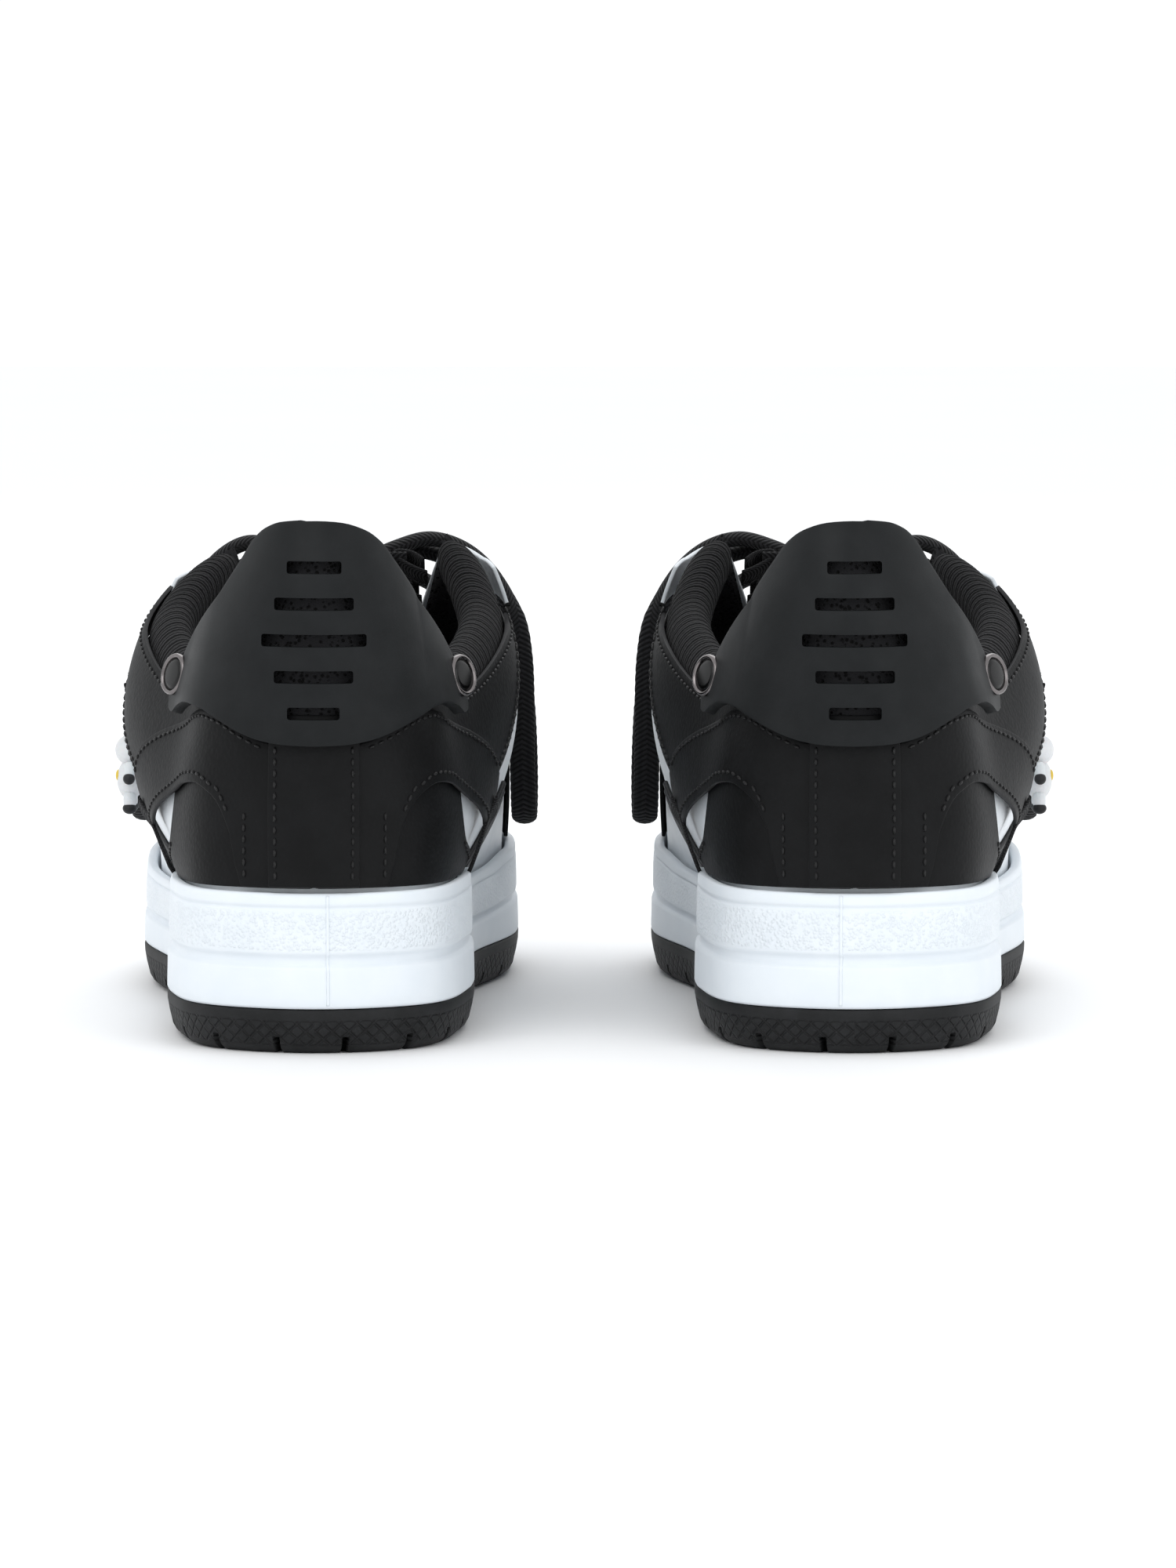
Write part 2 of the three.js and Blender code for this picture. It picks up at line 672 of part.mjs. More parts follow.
// The lace goes straight across on top, round the side, and back up underneath on a slant.
function makeLace() {
  const under = (TONGUE_THICKNESS + LACE_THICKNESS) / 2 + 3 * CLEARANCE;
  const top = under + LACE_THICKNESS + 2 * CLEARANCE;
  const first = 0.12;
  const pitch = 0.76 / (LACE_BARS - 1);
  const stops = [];
  const stop = (share, x, out) => {
    const crown = 3 * Math.sin(Math.PI * Math.min(1, share));
    const place = TONGUE_FOOT.clone()
      .lerp(TONGUE_HEAD, share)
      .add(new THREE.Vector3(x, 0, 0))
      .addScaledVector(tongueFace, crown + out);
    stops.push({ place, across: tongueAlong });
  };
  for (let i = 0; i < LACE_BARS; i++) {
    const share = first + i * pitch;
    const reach = through([[0, 10], [0.35, 14], [1, 22]])(share);
    for (const x of [-reach, -reach / 3, reach / 3, reach]) stop(share, x, top);
    if (i === LACE_BARS - 1) break;
    const middle = (top + under) / 2;
    stop(share, reach + 2.2, middle);
    stop(share + 0.1 * pitch, reach, under);
    stop(share + 0.9 * pitch, -reach, under);
    stop(share + pitch, -reach - 2.2, middle);
  }
  const knot = new THREE.SphereGeometry(1, 10, 6).scale(KNOT.x, KNOT.y, KNOT.z);
  knot.translate(KNOT_PLACE.x, KNOT_PLACE.y, KNOT_PLACE.z);
  return join(bar(stops, 4, LACE_WIDTH, LACE_THICKNESS), knot);
}

// ---- The bow's free loops and tails, each along hand-set points in millimetres ----
const KNOT = new THREE.Vector3(7.5, 7, 5.5);
const KNOT_PLACE = new THREE.Vector3(1, 24.5, 122.5);
const MEDIAL_LOOP = [
  [10, 25.2, 125.2],
  [18, 27.5, 128.8],
  [28, 30.6, 131.2],
  [37.8, 32.8, 128.2],
  [46.3, 33.8, 120.6],
  [52.2, 35, 109],
  [54.4, 35.5, 96.5],
  [55, 36, 83],
  [55, 37, 71],
  [55.2, 39, 60],
  [55.4, 43, 51.5],
  [55.6, 50, 47.5],
  [55.8, 57, 51.5],
  [55.8, 60.5, 60],
  [55.5, 59.5, 71],
  [54.8, 56.5, 82],
  [53, 52.5, 92.5],
  [49.8, 47.5, 103],
  [44.8, 43.4, 114],
  [36.6, 40, 122.6],
  [27.2, 36.4, 127],
  [18, 32.5, 127],
  [10, 30.5, 126],
];
const LATERAL_LOOP = [
  [-8, 25.2, 125.2],
  [-16, 27.5, 128.5],
  [-25.6, 31.5, 130],
  [-34.6, 34.6, 124.8],
  [-41.5, 38, 114],
  [-47.5, 40.5, 103],
  [-51.5, 41.5, 91.5],
  [-54.5, 42, 80],
  [-56, 42.5, 69],
  [-56.5, 44.5, 59.5],
  [-57, 49, 52],
  [-57.8, 56.5, 48],
  [-58.4, 63, 52],
  [-58.4, 65, 60.5],
  [-57, 62, 71],
  [-53.5, 57.5, 82],
  [-49, 52.5, 92.5],
  [-43.5, 47.5, 103],
  [-36.4, 42.5, 114.2],
  [-27.5, 38.4, 122.6],
  [-17, 33, 126],
  [-8, 30.5, 126],
];
const MEDIAL_TAIL = [
  [7, 34, 121.5],
  [14, 38.5, 121.5],
  [21.5, 42.5, 120],
  [28, 47, 117],
  [32.6, 52.3, 111.4],
  [36.2, 57.5, 106.2],
  [41.9, 64.7, 95.6],
  [47.8, 71.9, 84.5],
  [52, 78, 73],
  [54.3, 83.2, 62],
  [54.9, 86, 54],
];
const LATERAL_TAIL = [
  [-5, 34, 121],
  [-12, 38.5, 120.5],
  [-19, 43, 118],
  [-25, 48.7, 112.9],
  [-29.8, 55.2, 106],
  [-36.2, 63, 97.6],
  [-43.2, 69.8, 86.2],
  [-49.5, 76, 75],
  [-53.6, 80.7, 64.7],
  [-55.4, 83.5, 56.5],
];
// The loops stand on edge, their width out from the shoe; the tails lie flat on it.
const OUTWARD = new THREE.Vector3(1, 0, 0);
const FORWARD = new THREE.Vector3(0, 1, 0);
function makeCord(points, steps, across) {
  const route = new THREE.CatmullRomCurve3(points.map((point) => new THREE.Vector3(...point)));
  const stops = route.getSpacedPoints(steps).map((place) => ({ place, across: across(place) }));
  return bar(stops, 8, CORD_WIDTH, CORD_THICKNESS);
}
// Near the knot a loop lies flat on top of the shoe, and lower down it stands on edge.
const loopAcross = (place) => FORWARD.clone().lerp(OUTWARD, smoothstep(128 - place.z, 4, 34));
const tailAcross = (place) =>
  FORWARD.clone().lerp(new THREE.Vector3(0, 0.6, 0.8), smoothstep(110 - place.z, 0, 40));

// ---- Charm: a webbing tab, a ring in it, and a small figure on the ring ----
function charmPlace() {
  const t = stationOf(LATERAL * CHARM_GIRTH);
  const spot = basePoint(t, shareAt(t, CHARM_Z));
  return new THREE.Vector3(spot.x - CHARM_STANDOFF, spot.y, CHARM_Z);
}
function makeTab() {
  const wire = charmPlace();
  const inside = RING_WIRE + TAB_THICKNESS;
  const loop = new THREE.Shape().absarc(0, 0, inside + TAB_THICKNESS, 0, 2 * Math.PI);
  loop.holes.push(new THREE.Path().absarc(0, 0, inside, 0, 2 * Math.PI, true));
  const fold = new THREE.ExtrudeGeometry(loop, { depth: TAB_WIDTH, bevelEnabled: false, curveSegments: 6 });
  fold.translate(0, 0, -TAB_WIDTH / 2);
  fold.rotateX(Math.PI / 2);
  fold.translate(wire.x, wire.y, wire.z);
  const plate = new THREE.BoxGeometry(TAB_THICKNESS, TAB_WIDTH, TAB_LENGTH);
  plate.translate(inside + TAB_THICKNESS / 2, 0, TAB_LENGTH / 2);
  plate.rotateY(0.2);
  plate.translate(wire.x, wire.y, wire.z);
  return join(fold, plate);
}
function makeRing() {
  const { x, y, z } = charmPlace();
  const ring = new THREE.TorusGeometry(RING_RADIUS, RING_WIRE, 5, 16);
  ring.rotateY(Math.PI / 2);
  ring.translate(x, y, z - RING_RADIUS);
  return bend(ring, (v) => v);
}
function makeFigure() {
  const { x, y, z } = charmPlace();
  const eyeletZ = z - 2 * RING_RADIUS - EYELET_RADIUS + EYELET_WIRE + RING_WIRE + CLEARANCE;
  const headZ = eyeletZ - EYELET_RADIUS - HEAD_RADIUS + 1;
  const bodyX = x - 1.4;
  const eyelet = new THREE.TorusGeometry(EYELET_RADIUS, EYELET_WIRE, 5, 10).rotateX(Math.PI / 2);
  const head = new THREE.SphereGeometry(HEAD_RADIUS, 8, 6).translate(bodyX, y, headZ);
  const trunk = new THREE.SphereGeometry(1, 8, 6).scale(4, 5.2, 6.2);
  trunk.translate(bodyX, y, headZ - 8.6);
  const limb = (along, lean, up) =>
    new THREE.CapsuleGeometry(1.7, 5, 1, 6).rotateX(lean).translate(bodyX, y + along, headZ + up);
  return join(
    eyelet.translate(x, y, eyeletZ),
    head,
    trunk,
    limb(6, -1.1, -6),
    limb(-6, 1.1, -6),
    limb(3.6, 0.5, -14.5),
    limb(-3.6, -0.5, -14.5),
  );
}

const COLOURS = {
  rubber: [0x26282a, 0.75, 0],
  white: [0xe9edf0, 0.6, 0],
  board: [0xb9a685, 0.9, 0],
  black: [0x1b1b1d, 0.55, 0],
  textile: [0x141415, 0.95, 0],
  metal: [0x5a5a5e, 0.3, 1],
};
function material(kind) {
  const [color, roughness, metalness] = COLOURS[kind];
  return new THREE.MeshStandardMaterial({ color, roughness, metalness });
}

const pieces = [
  ["outsole", makeOutsole(), "rubber"],
  ["midsole", makeMidsole(), "white"],
  ["lasting_board", makeBoard(), "board"],
  ["insole", makeInsole(), "textile"],
  ["upper_shell", makeShell(), "white"],
  ["collar_lining", makeLining(), "textile"],
  ["heel_counter", makeCounter(), "board"],
  ["toe_cap", makeToeCap(), "black"],
  ["vamp", makeVamp(), "white"],
  ["eyestay", makeEyestay(), "white"],
  ["quarter_lateral", makeQuarter(LATERAL), "black"],
  ["quarter_medial", makeQuarter(MEDIAL), "black"],
  ["side_panel_lateral", makeSidePanel(LATERAL), "black"],
  ["side_panel_medial", makeSidePanel(MEDIAL), "black"],
  ["heel_overlay_lateral", makeHeelOverlay(LATERAL), "black"],
  ["heel_overlay_medial", makeHeelOverlay(MEDIAL), "black"],
  ["backstay", makeBackstay(), "black"],
  ["heel_guard", makeGuard(), "rubber"],
  ["rivet_lateral", makeRivet(LATERAL), "metal"],
  ["rivet_medial", makeRivet(MEDIAL), "metal"],
  ["collar_roll", makeCollarRoll(), "textile"],
  ["tongue", makeTongue(), "black"],
  ["lace", makeLace(), "textile"],
  ["lace_loop_medial", makeCord(MEDIAL_LOOP, 20, loopAcross), "textile"],
  ["lace_loop_lateral", makeCord(LATERAL_LOOP, 20, loopAcross), "textile"],
  ["lace_tail_medial", makeCord(MEDIAL_TAIL, 9, tailAcross), "textile"],
  ["lace_tail_lateral", makeCord(LATERAL_TAIL, 9, tailAcross), "textile"],
  ["charm_tab", makeTab(), "textile"],
  ["charm_ring", makeRing(), "metal"],
  ["charm_figure", makeFigure(), "white"],
];

// The pair stands on z = 0 with its box centred along Y.
const extent = new THREE.Box3();
for (const [, geometry] of pieces) extent.expandByObject(new THREE.Mesh(geometry));

const pair = new THREE.Group();
for (const [prefix, side] of [["left", -1], ["right", 1]]) {
  const shoe = new THREE.Group();
  shoe.position.x = (side * PAIR_SPACING) / 2;
  shoe.position.y = -(extent.min.y + extent.max.y) / 2;
  shoe.scale.x = -side;
  for (const [name, geometry, kind] of pieces) {
    const mesh = new THREE.Mesh(geometry, material(kind));
    mesh.name = `${prefix}_${name}`;
    shoe.add(mesh);
  }
  pair.add(shoe);
}

export default pair;
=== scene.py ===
from math import cos, pi, radians, sin, tau

import bmesh
import bpy
import numpy as np
from mathutils import Matrix, Vector


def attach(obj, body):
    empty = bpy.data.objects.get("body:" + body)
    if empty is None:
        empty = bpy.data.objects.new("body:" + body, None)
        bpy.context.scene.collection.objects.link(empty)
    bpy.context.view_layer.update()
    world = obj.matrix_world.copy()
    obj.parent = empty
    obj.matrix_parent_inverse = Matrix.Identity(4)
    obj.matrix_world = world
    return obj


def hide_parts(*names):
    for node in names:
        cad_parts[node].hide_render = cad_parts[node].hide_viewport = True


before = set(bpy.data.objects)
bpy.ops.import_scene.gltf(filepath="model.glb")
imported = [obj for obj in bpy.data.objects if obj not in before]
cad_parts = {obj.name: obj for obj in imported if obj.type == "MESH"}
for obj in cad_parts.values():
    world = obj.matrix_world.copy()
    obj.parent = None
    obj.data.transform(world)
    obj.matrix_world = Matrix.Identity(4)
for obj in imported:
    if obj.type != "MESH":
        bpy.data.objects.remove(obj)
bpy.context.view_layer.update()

# ---- Studio ----
# A long lens looks at the pair squarely from behind and a little from above. The pair
# stands on a pale floor under three large soft lights.
camera = bpy.data.objects.new("camera", bpy.data.cameras.new("camera"))
camera.data.lens = 170
camera.data.sensor_width = 36
camera.data.clip_end = 50
camera.location = (0.001, -2.145, 0.248)
camera.rotation_euler = (radians(90 - 4.97), 0, 0)
bpy.context.collection.objects.link(camera)
bpy.context.scene.camera = camera

world = bpy.data.worlds.new("studio")
world.use_nodes = True
world.node_tree.nodes["Background"].inputs["Color"].default_value = (0.97, 0.985, 1.0, 1)
world.node_tree.nodes["Background"].inputs["Strength"].default_value = 1.06
bpy.context.scene.world = world
bpy.context.scene.view_settings.view_transform = "Standard"

SOFT_LIGHTS = {
    "key": ((-0.9, -1.5, 1.7), 1.4, 10),
    "fill": ((1.3, -1.3, 0.9), 1.2, 5),
    "back": ((0.2, 1.6, 1.6), 1.6, 9),
}
for name, (place, size, power) in SOFT_LIGHTS.items():
    light = bpy.data.objects.new(name, bpy.data.lights.new(name, "AREA"))
    light.data.size = size
    light.data.energy = power
    light.location = place
    light.rotation_euler = (Vector((0, 0, 0.05)) - Vector(place)).to_track_quat("-Z", "Y").to_euler()
    bpy.context.collection.objects.link(light)


class Value:
    """A socket in a material, so that sums on it are written as Python expressions."""

    def __init__(self, tree, socket):
        self.tree = tree
        self.socket = socket

    def maths(self, operation, *others):
        node = self.tree.nodes.new("ShaderNodeMath")
        node.operation = operation
        for socket, value in zip(node.inputs, (self, *others)):
            feed(self.tree, socket, value)
        return Value(self.tree, node.outputs[0])

    def __add__(self, other):
        return self.maths("ADD", other)

    def __sub__(self, other):
        return self.maths("SUBTRACT", other)

    def __mul__(self, other):
        return self.maths("MULTIPLY", other)

    def __rsub__(self, other):
        return (self * -1) + other

    def clamped(self, low, high):
        """0 up to low, 1 from high, and smooth between them."""
        node = self.tree.nodes.new("ShaderNodeMapRange")
        node.interpolation_type = "SMOOTHSTEP"
        for name, value in (("Value", self), ("From Min", low), ("From Max", high)):
            feed(self.tree, node.inputs[name], value)
        return Value(self.tree, node.outputs[0])

    __radd__ = __add__
    __rmul__ = __mul__


def feed(tree, socket, value):
    if isinstance(value, Value):
        tree.links.new(value.socket, socket)
    elif isinstance(value, tuple) and len(value) == 3 and socket.type == "RGBA":
        socket.default_value = (*value, 1)
    else:
        socket.default_value = value


class Finish:
    """A material with one shader. Its steady values sit on the shader's own sockets."""

    def __init__(self, name, **steady):
        self.material = bpy.data.materials.new(name)
        self.material.use_nodes = True
        self.tree = self.material.node_tree
        self.shader = self.tree.nodes["Principled BSDF"]
        for socket, value in steady.items():
            feed(self.tree, self.shader.inputs[socket.replace("_", " ")], value)
        coordinates = self.tree.nodes.new("ShaderNodeTexCoord")
        self.place = Value(self.tree, coordinates.outputs["Object"])
        self.uv = Value(self.tree, coordinates.outputs["UV"])

    def node(self, kind, output, settings=None, **inputs):
        node = self.tree.nodes.new("ShaderNode" + kind)
        for key, value in (settings or {}).items():
            setattr(node, key, value)
        for key, value in inputs.items():
            feed(self.tree, node.inputs[key.replace("_", " ")], value)
        return Value(self.tree, node.outputs[output])

    def noise(self, scale, detail=3, roughness=0.55, vector=None):
        vector = vector or self.place
        return self.node("TexNoise", "Fac", Vector=vector, Scale=scale, Detail=detail, Roughness=roughness)

    def cells(self, scale, vector=None, feature="F1"):
        vector = vector or self.place
        return self.node("TexVoronoi", "Distance", {"feature": feature}, Vector=vector, Scale=scale)

    def split(self, vector):
        node = self.tree.nodes.new("ShaderNodeSeparateXYZ")
        feed(self.tree, node.inputs[0], vector)
        return [Value(self.tree, out) for out in node.outputs]

    def colours(self, share, low, high):
        node = self.tree.nodes.new("ShaderNodeMix")
        node.data_type = "RGBA"
        sockets = {s.identifier: s for s in node.inputs}
        feed(self.tree, sockets["Factor_Float"], share)
        feed(self.tree, sockets["A_Color"], low)
        feed(self.tree, sockets["B_Color"], high)
        return Value(self.tree, next(s for s in node.outputs if s.identifier == "Result_Color"))

    def drive(self, socket, value):
        feed(self.tree, self.shader.inputs[socket], value)

    def tinted(self, scale, low, high, detail=3):
        """Mottles the base colour between two tones."""
        self.drive("Base Color", self.colours(self.noise(scale, detail), low, high))
        return self

    def relief(self, height, depth, strength=1.0):
        """Raises the surface by height times depth, in metres."""
        bump = self.node("Bump", "Normal", Height=height, Distance=depth, Strength=strength)
        self.drive("Normal", bump)
        return self


bm = bmesh.new()
bmesh.ops.create_grid(bm, x_segments=1, y_segments=1, size=6)
floor_mesh = bpy.data.meshes.new("floor")
bm.to_mesh(floor_mesh)
bm.free()
studio_floor = bpy.data.objects.new("floor", floor_mesh)
pale_floor = Finish("studio_floor", Roughness=0.6).tinted(3, (0.94, 0.94, 0.945), (0.97, 0.97, 0.97))
floor_mesh.materials.append(pale_floor.material)
bpy.context.collection.objects.link(studio_floor)

# ---- The last ----
# Every layer of the upper follows one last. These are its rows from the sole's rim to the
# topline, in millimetres about the left shoe, with the heel towards -Y and the outer side
# towards -X.
MM = 0.001
SHOE_X = -73.5
SHOE_Y = -0.434
HEEL_HALF, BALL_HALF, HALF_LENGTH = 41, 54, 145
RIM_WIDTH = 3.2
UPPER_INSET = RIM_WIDTH + 1
ROW_WIDTHS = np.array([HEEL_HALF] * 3 + [BALL_HALF] * 7 + [HEEL_HALF] * 2)


class ClosedCurve:
    """A smooth closed curve through its points, with the places shared out point by point."""

    def __init__(self, points):
        here = np.array(points, float)
        before, after, later = (np.roll(here, step, axis=0) for step in (1, -1, -2))

        def gap(a, b):
            return np.sqrt(np.linalg.norm(b - a, axis=1))[:, None]

        g0, g1, g2 = gap(before, here), gap(here, after), gap(after, later)
        leave = ((here - before) / g0 - (after - before) / (g0 + g1) + (after - here) / g1) * g1
        arrive = ((after - here) / g1 - (later - here) / (g1 + g2) + (later - after) / g2) * g1
        bend = 3 * (after - here) - 2 * leave - arrive
        twist = 2 * (here - after) + leave + arrive
        self.terms = [here, leave, bend, twist]
        self.count = len(here)

    def __call__(self, t):
        along = np.mod(t, 1) * self.count
        index = np.floor(along).astype(int) % self.count
        share = (along - np.floor(along))[..., None]
        a, b, c, d = (term[index] for term in self.terms)
        return a + share * (b + share * (c + share * d))


def last_row(*shares):
    shares = np.array(shares, float)
    return ClosedCurve(np.column_stack([ROW_WIDTHS * shares[:, 0], HALF_LENGTH * shares[:, 1]]))


sole_outline = last_row(
    (0, -0.99), (-0.735, -0.9), (-1, -0.69), (-0.79, -0.22), (-1.035, 0.25), (-0.83, 0.75),
    (0.05, 0.996), (0.82, 0.78), (0.975, 0.4), (0.74, -0.055), (1, -0.635), (0.735, -0.9),
)
low_row = last_row(
    (0, -0.942), (-0.67, -0.858), (-0.965, -0.66), (-0.975, -0.25), (-0.965, 0.21), (-0.755, 0.685),
    (0.05, 0.952), (0.755, 0.712), (0.925, 0.32), (0.92, -0.08), (0.965, -0.62), (0.67, -0.858),
)
high_row = last_row(
    (0, -0.928), (-0.61, -0.835), (-0.9, -0.63), (-1.037, -0.225), (-0.87, 0.155), (-0.575, 0.55),
    (0.05, 0.868), (0.585, 0.57), (0.88, 0.21), (1.0, -0.1), (0.9, -0.6), (0.61, -0.835),
)
topline_row = last_row(
    (0, -0.89), (-0.51, -0.786), (-0.8, -0.585), (-0.85, -0.18), (-0.575, 0.083), (-0.38, 0.36),
    (0.037, 0.565), (0.4, 0.36), (0.65, 0.076), (0.85, -0.125), (0.8, -0.572), (0.51, -0.786),
)
TOPLINE_HEIGHTS = [124, 114.11, 101, 118, 132, 98, 82, 98, 136, 118, 101, 114.11]
topline_heights = ClosedCurve([(20 * i, height) for i, height in enumerate(TOPLINE_HEIGHTS)])


def through(*pairs):
    """A smooth function through (place, value) pairs, which never overshoots them."""
    x, y = np.array(pairs, float).T
    rise = np.diff(y) / np.diff(x)
    same_way = rise[:-1] * rise[1:] > 0
    both = np.where(same_way, rise[:-1] + rise[1:], 1)
    slope = np.concatenate([rise[:1], np.where(same_way, 2 * rise[:-1] * rise[1:] / both, 0), rise[-1:]])

    def value(at):
        at = np.clip(at, x[0], x[-1])
        i = np.clip(np.searchsorted(x, at, side="right") - 1, 0, len(x) - 2)
        step = x[i + 1] - x[i]
        s = (at - x[i]) / step
        start = (1 + 2 * s) * (1 - s) ** 2 * y[i] + s * (1 - s) ** 2 * step * slope[i]
        end = s * s * (3 - 2 * s) * y[i + 1] + s * s * (s - 1) * step * slope[i + 1]
        return start + end

    return value


def smoothstep(value, low, high):
    share = np.clip((value - low) / (high - low), 0, 1)
    return share * share * (3 - 2 * share)


sole_top_share = through(
    (-1, 44), (-0.45, 43.5), (-0.22, 36), (-0.05, 34), (0.15, 35), (0.32, 38), (0.7, 39), (1, 41)
)


def sole_top(y):
    return sole_top_share(y / HALF_LENGTH)


def sole_plan(t, out):
    """The sole's outline, moved out by a distance."""
    step = 1e-4
    along = sole_outline(t + step) - sole_outline(t - step)
    along /= np.linalg.norm(along, axis=-1, keepdims=True)
    out = np.broadcast_to(out, np.shape(t))[..., None]
    return sole_outline(t) + np.stack([-along[..., 1], along[..., 0]], -1) * out


def rim_z(t):
    return sole_top(sole_plan(t, -UPPER_INSET)[..., 1])


def topline_z(t):
    return topline_heights(t)[..., 1]


def share_at(t, z):
    return (z - rim_z(t)) / (topline_z(t) - rim_z(t))


def on_last(t, h, out=0.0):
    """A place on the last: t round it from the heel, h up it from rim to topline, and a
    distance out from it."""
    t, h, out = np.broadcast_arrays(*(np.asarray(v, float) for v in (t, h, out)))

    def base(t, h):
        s = 3 * np.maximum(h, 0)
        weights = [
            -(s - 1) * (s - 2) * (s - 3) / 6,
            s * (s - 2) * (s - 3) / 2,
            -s * (s - 1) * (s - 3) / 2,
            s * (s - 1) * (s - 2) / 6,
        ]
        rows = [sole_plan(t, -UPPER_INSET), low_row(t), high_row(t), topline_row(t)]
        flat = sum(w[..., None] * row for w, row in zip(weights, rows))
        z = rim_z(t) + (topline_z(t) - rim_z(t)) * h
        return np.concatenate([flat, z[..., None]], -1)

    step = 0.004
    up = base(t, h + step) - base(t, h - step)
    side = base(t + step, h) - base(t - step, h)
    normal = np.cross(up, side)
    normal /= np.linalg.norm(normal, axis=-1, keepdims=True)
    return base(t, h) + normal * out[..., None], normal


GIRTH_STEPS = np.linspace(0, 1, 401)
girth_line = on_last(GIRTH_STEPS, 1 / 3)[0][:, :2]
girth_sums = np.concatenate([[0], np.cumsum(np.linalg.norm(np.diff(girth_line, axis=0), axis=1))])
LATERAL, MEDIAL = -1, 1
SIDES = ((LATERAL, "lateral"), (MEDIAL, "medial"))


def station(girth):
    """The place round the last at a girth in millimetres from the heel's centre line,
    negative on the lateral side."""
    return np.interp(np.mod(-np.asarray(girth, float), girth_sums[-1]), girth_sums, GIRTH_STEPS)


def girth_of(t):
    """The girth without its sign."""
    forward = np.interp(np.mod(t, 1), GIRTH_STEPS, girth_sums)
    return np.minimum(forward, girth_sums[-1] - forward)


def placed(points):
    """From millimetres about the left shoe to metres in the frame."""
    return (np.asarray(points) + (SHOE_X, SHOE_Y, 0)) * MM


def grid_piece(name, columns, rows, place, material, closed=False, capped=False):
    """A grid whose corners (u, v) from 0 to 1 are put where place says. A closed one
    meets itself round v, and a capped one has its ends filled."""
    bm = bmesh.new()
    bm.loops.layers.uv.new("UVMap")
    bmesh.ops.create_grid(bm, x_segments=columns, y_segments=rows, size=1, calc_uvs=True)
    flat = np.array([v.co[:2] for v in bm.verts]) / 2 + 0.5
    points = placed(place(flat[:, 0], flat[:, 1]))
    for vert, point in zip(bm.verts, points):
        vert.co = point
    if closed:
        bmesh.ops.remove_doubles(bm, verts=bm.verts, dist=1e-6)
    if capped:
        bmesh.ops.holes_fill(bm, edges=bm.edges, sides=0)
    if closed:
        bmesh.ops.recalc_face_normals(bm, faces=bm.faces)
    else:
        bm.normal_update()
        middle = Vector((SHOE_X * MM, 0, 0.06))
        facing = sum(f.normal.dot(f.calc_center_median() - middle) for f in bm.faces)
        if facing < 0:
            bmesh.ops.reverse_faces(bm, faces=bm.faces)
    return made(bm, name, material)


def made(bm, name, material):
    for face in bm.faces:
        face.smooth = True
    mesh = bpy.data.meshes.new(name)
    bm.to_mesh(mesh)
    bm.free()
    mesh.materials.append(material)
    piece = bpy.data.objects.new(name, mesh)
    bpy.context.collection.objects.link(piece)
    return piece


def thickened(piece, thickness, rounding, highlight_rim=None):
    """Gives an open sheet its thickness in millimetres, with rounded cut edges."""
    wall = piece.modifiers.new("thickness", "SOLIDIFY")
    wall.thickness = thickness * MM
    if highlight_rim:
        # The rim faces take the given material: a lighter grey painted on as a highlight along the cut edges.
        piece.data.materials.append(highlight_rim)
        wall.material_offset_rim = 1
    return rounded_edges(piece, rounding)


def rounded_edges(piece, width, segments=2):
    edge = piece.modifiers.new("edge", "BEVEL")
    edge.width = width * MM
    edge.segments = segments
    edge.limit_method = "ANGLE"
    edge.angle_limit = radians(50)
    return piece


MIRROR = Matrix.Scale(-1, 4, (1, 0, 0))


def on_both_shoes(piece, part, slot, *nodes):
    """The left shoe's piece rides on its body, and the right shoe gets its mirror image."""
    right = piece.copy()
    right.name = piece.name.replace("left_", "right_")
    right.data = piece.data.copy()
    right.data.transform(MIRROR)
    right.data.flip_normals()
    bpy.context.collection.objects.link(right)
    for side, made_piece in (("left", piece), ("right", right)):
        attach(made_piece, f"{side}_{part}")
        if nodes:
            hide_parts(*(f"{side}_{node}" for node in nodes))
    return piece, right


# ---- Bow: free loops and tails ----
# Fat flat polyester lace, woven as a tube and pressed flat. Each loop hangs down the side
# of the shoe and comes back to the knot; each tail ends in a moulded tip.
LACE_WIDTH, LACE_THICKNESS = 7.5, 4.5
LOOP_MEDIAL = [
    (10, 25.2, 125.2), (18, 27.5, 128.8), (28, 30.6, 131.2), (37.8, 32.8, 128.2), (46.3, 33.8, 120.6),
    (52.2, 35, 109), (54.4, 35.5, 96.5), (55, 36, 83), (55, 37, 71), (55.2, 39, 60), (55.4, 43, 51.5),
    (55.6, 50, 47.5), (55.8, 57, 51.5), (55.8, 60.5, 60), (55.5, 59.5, 71), (54.8, 56.5, 82),
    (53, 52.5, 92.5), (49.8, 47.5, 103), (44.8, 43.4, 114), (36.6, 40, 122.6), (27.2, 36.4, 127),
    (18, 32.5, 127), (10, 30.5, 126),
]
LOOP_LATERAL = [
    (-8, 25.2, 125.2), (-16, 27.5, 128.5), (-25.6, 31.5, 130), (-34.6, 34.6, 124.8), (-41.5, 38, 114),
    (-47.5, 40.5, 103), (-51.5, 41.5, 91.5), (-54.5, 42, 80), (-56, 42.5, 69), (-56.5, 44.5, 59.5),
    (-57, 49, 52), (-57.8, 56.5, 48), (-58.4, 63, 52), (-58.4, 65, 60.5), (-57, 62, 71),
    (-53.5, 57.5, 82), (-49, 52.5, 92.5), (-43.5, 47.5, 103), (-36.4, 42.5, 114.2),
    (-27.5, 38.4, 122.6), (-17, 33, 126), (-8, 30.5, 126),
]
TAIL_MEDIAL = [
    (7, 34, 121.5), (14, 38.5, 121.5), (21.5, 42.5, 120), (28, 47, 117), (32.6, 52.3, 111.4),
    (36.2, 57.5, 106.2), (41.9, 64.7, 95.6), (47.8, 71.9, 84.5), (52, 78, 73), (54.3, 83.2, 62),
    (54.9, 86, 54),
]
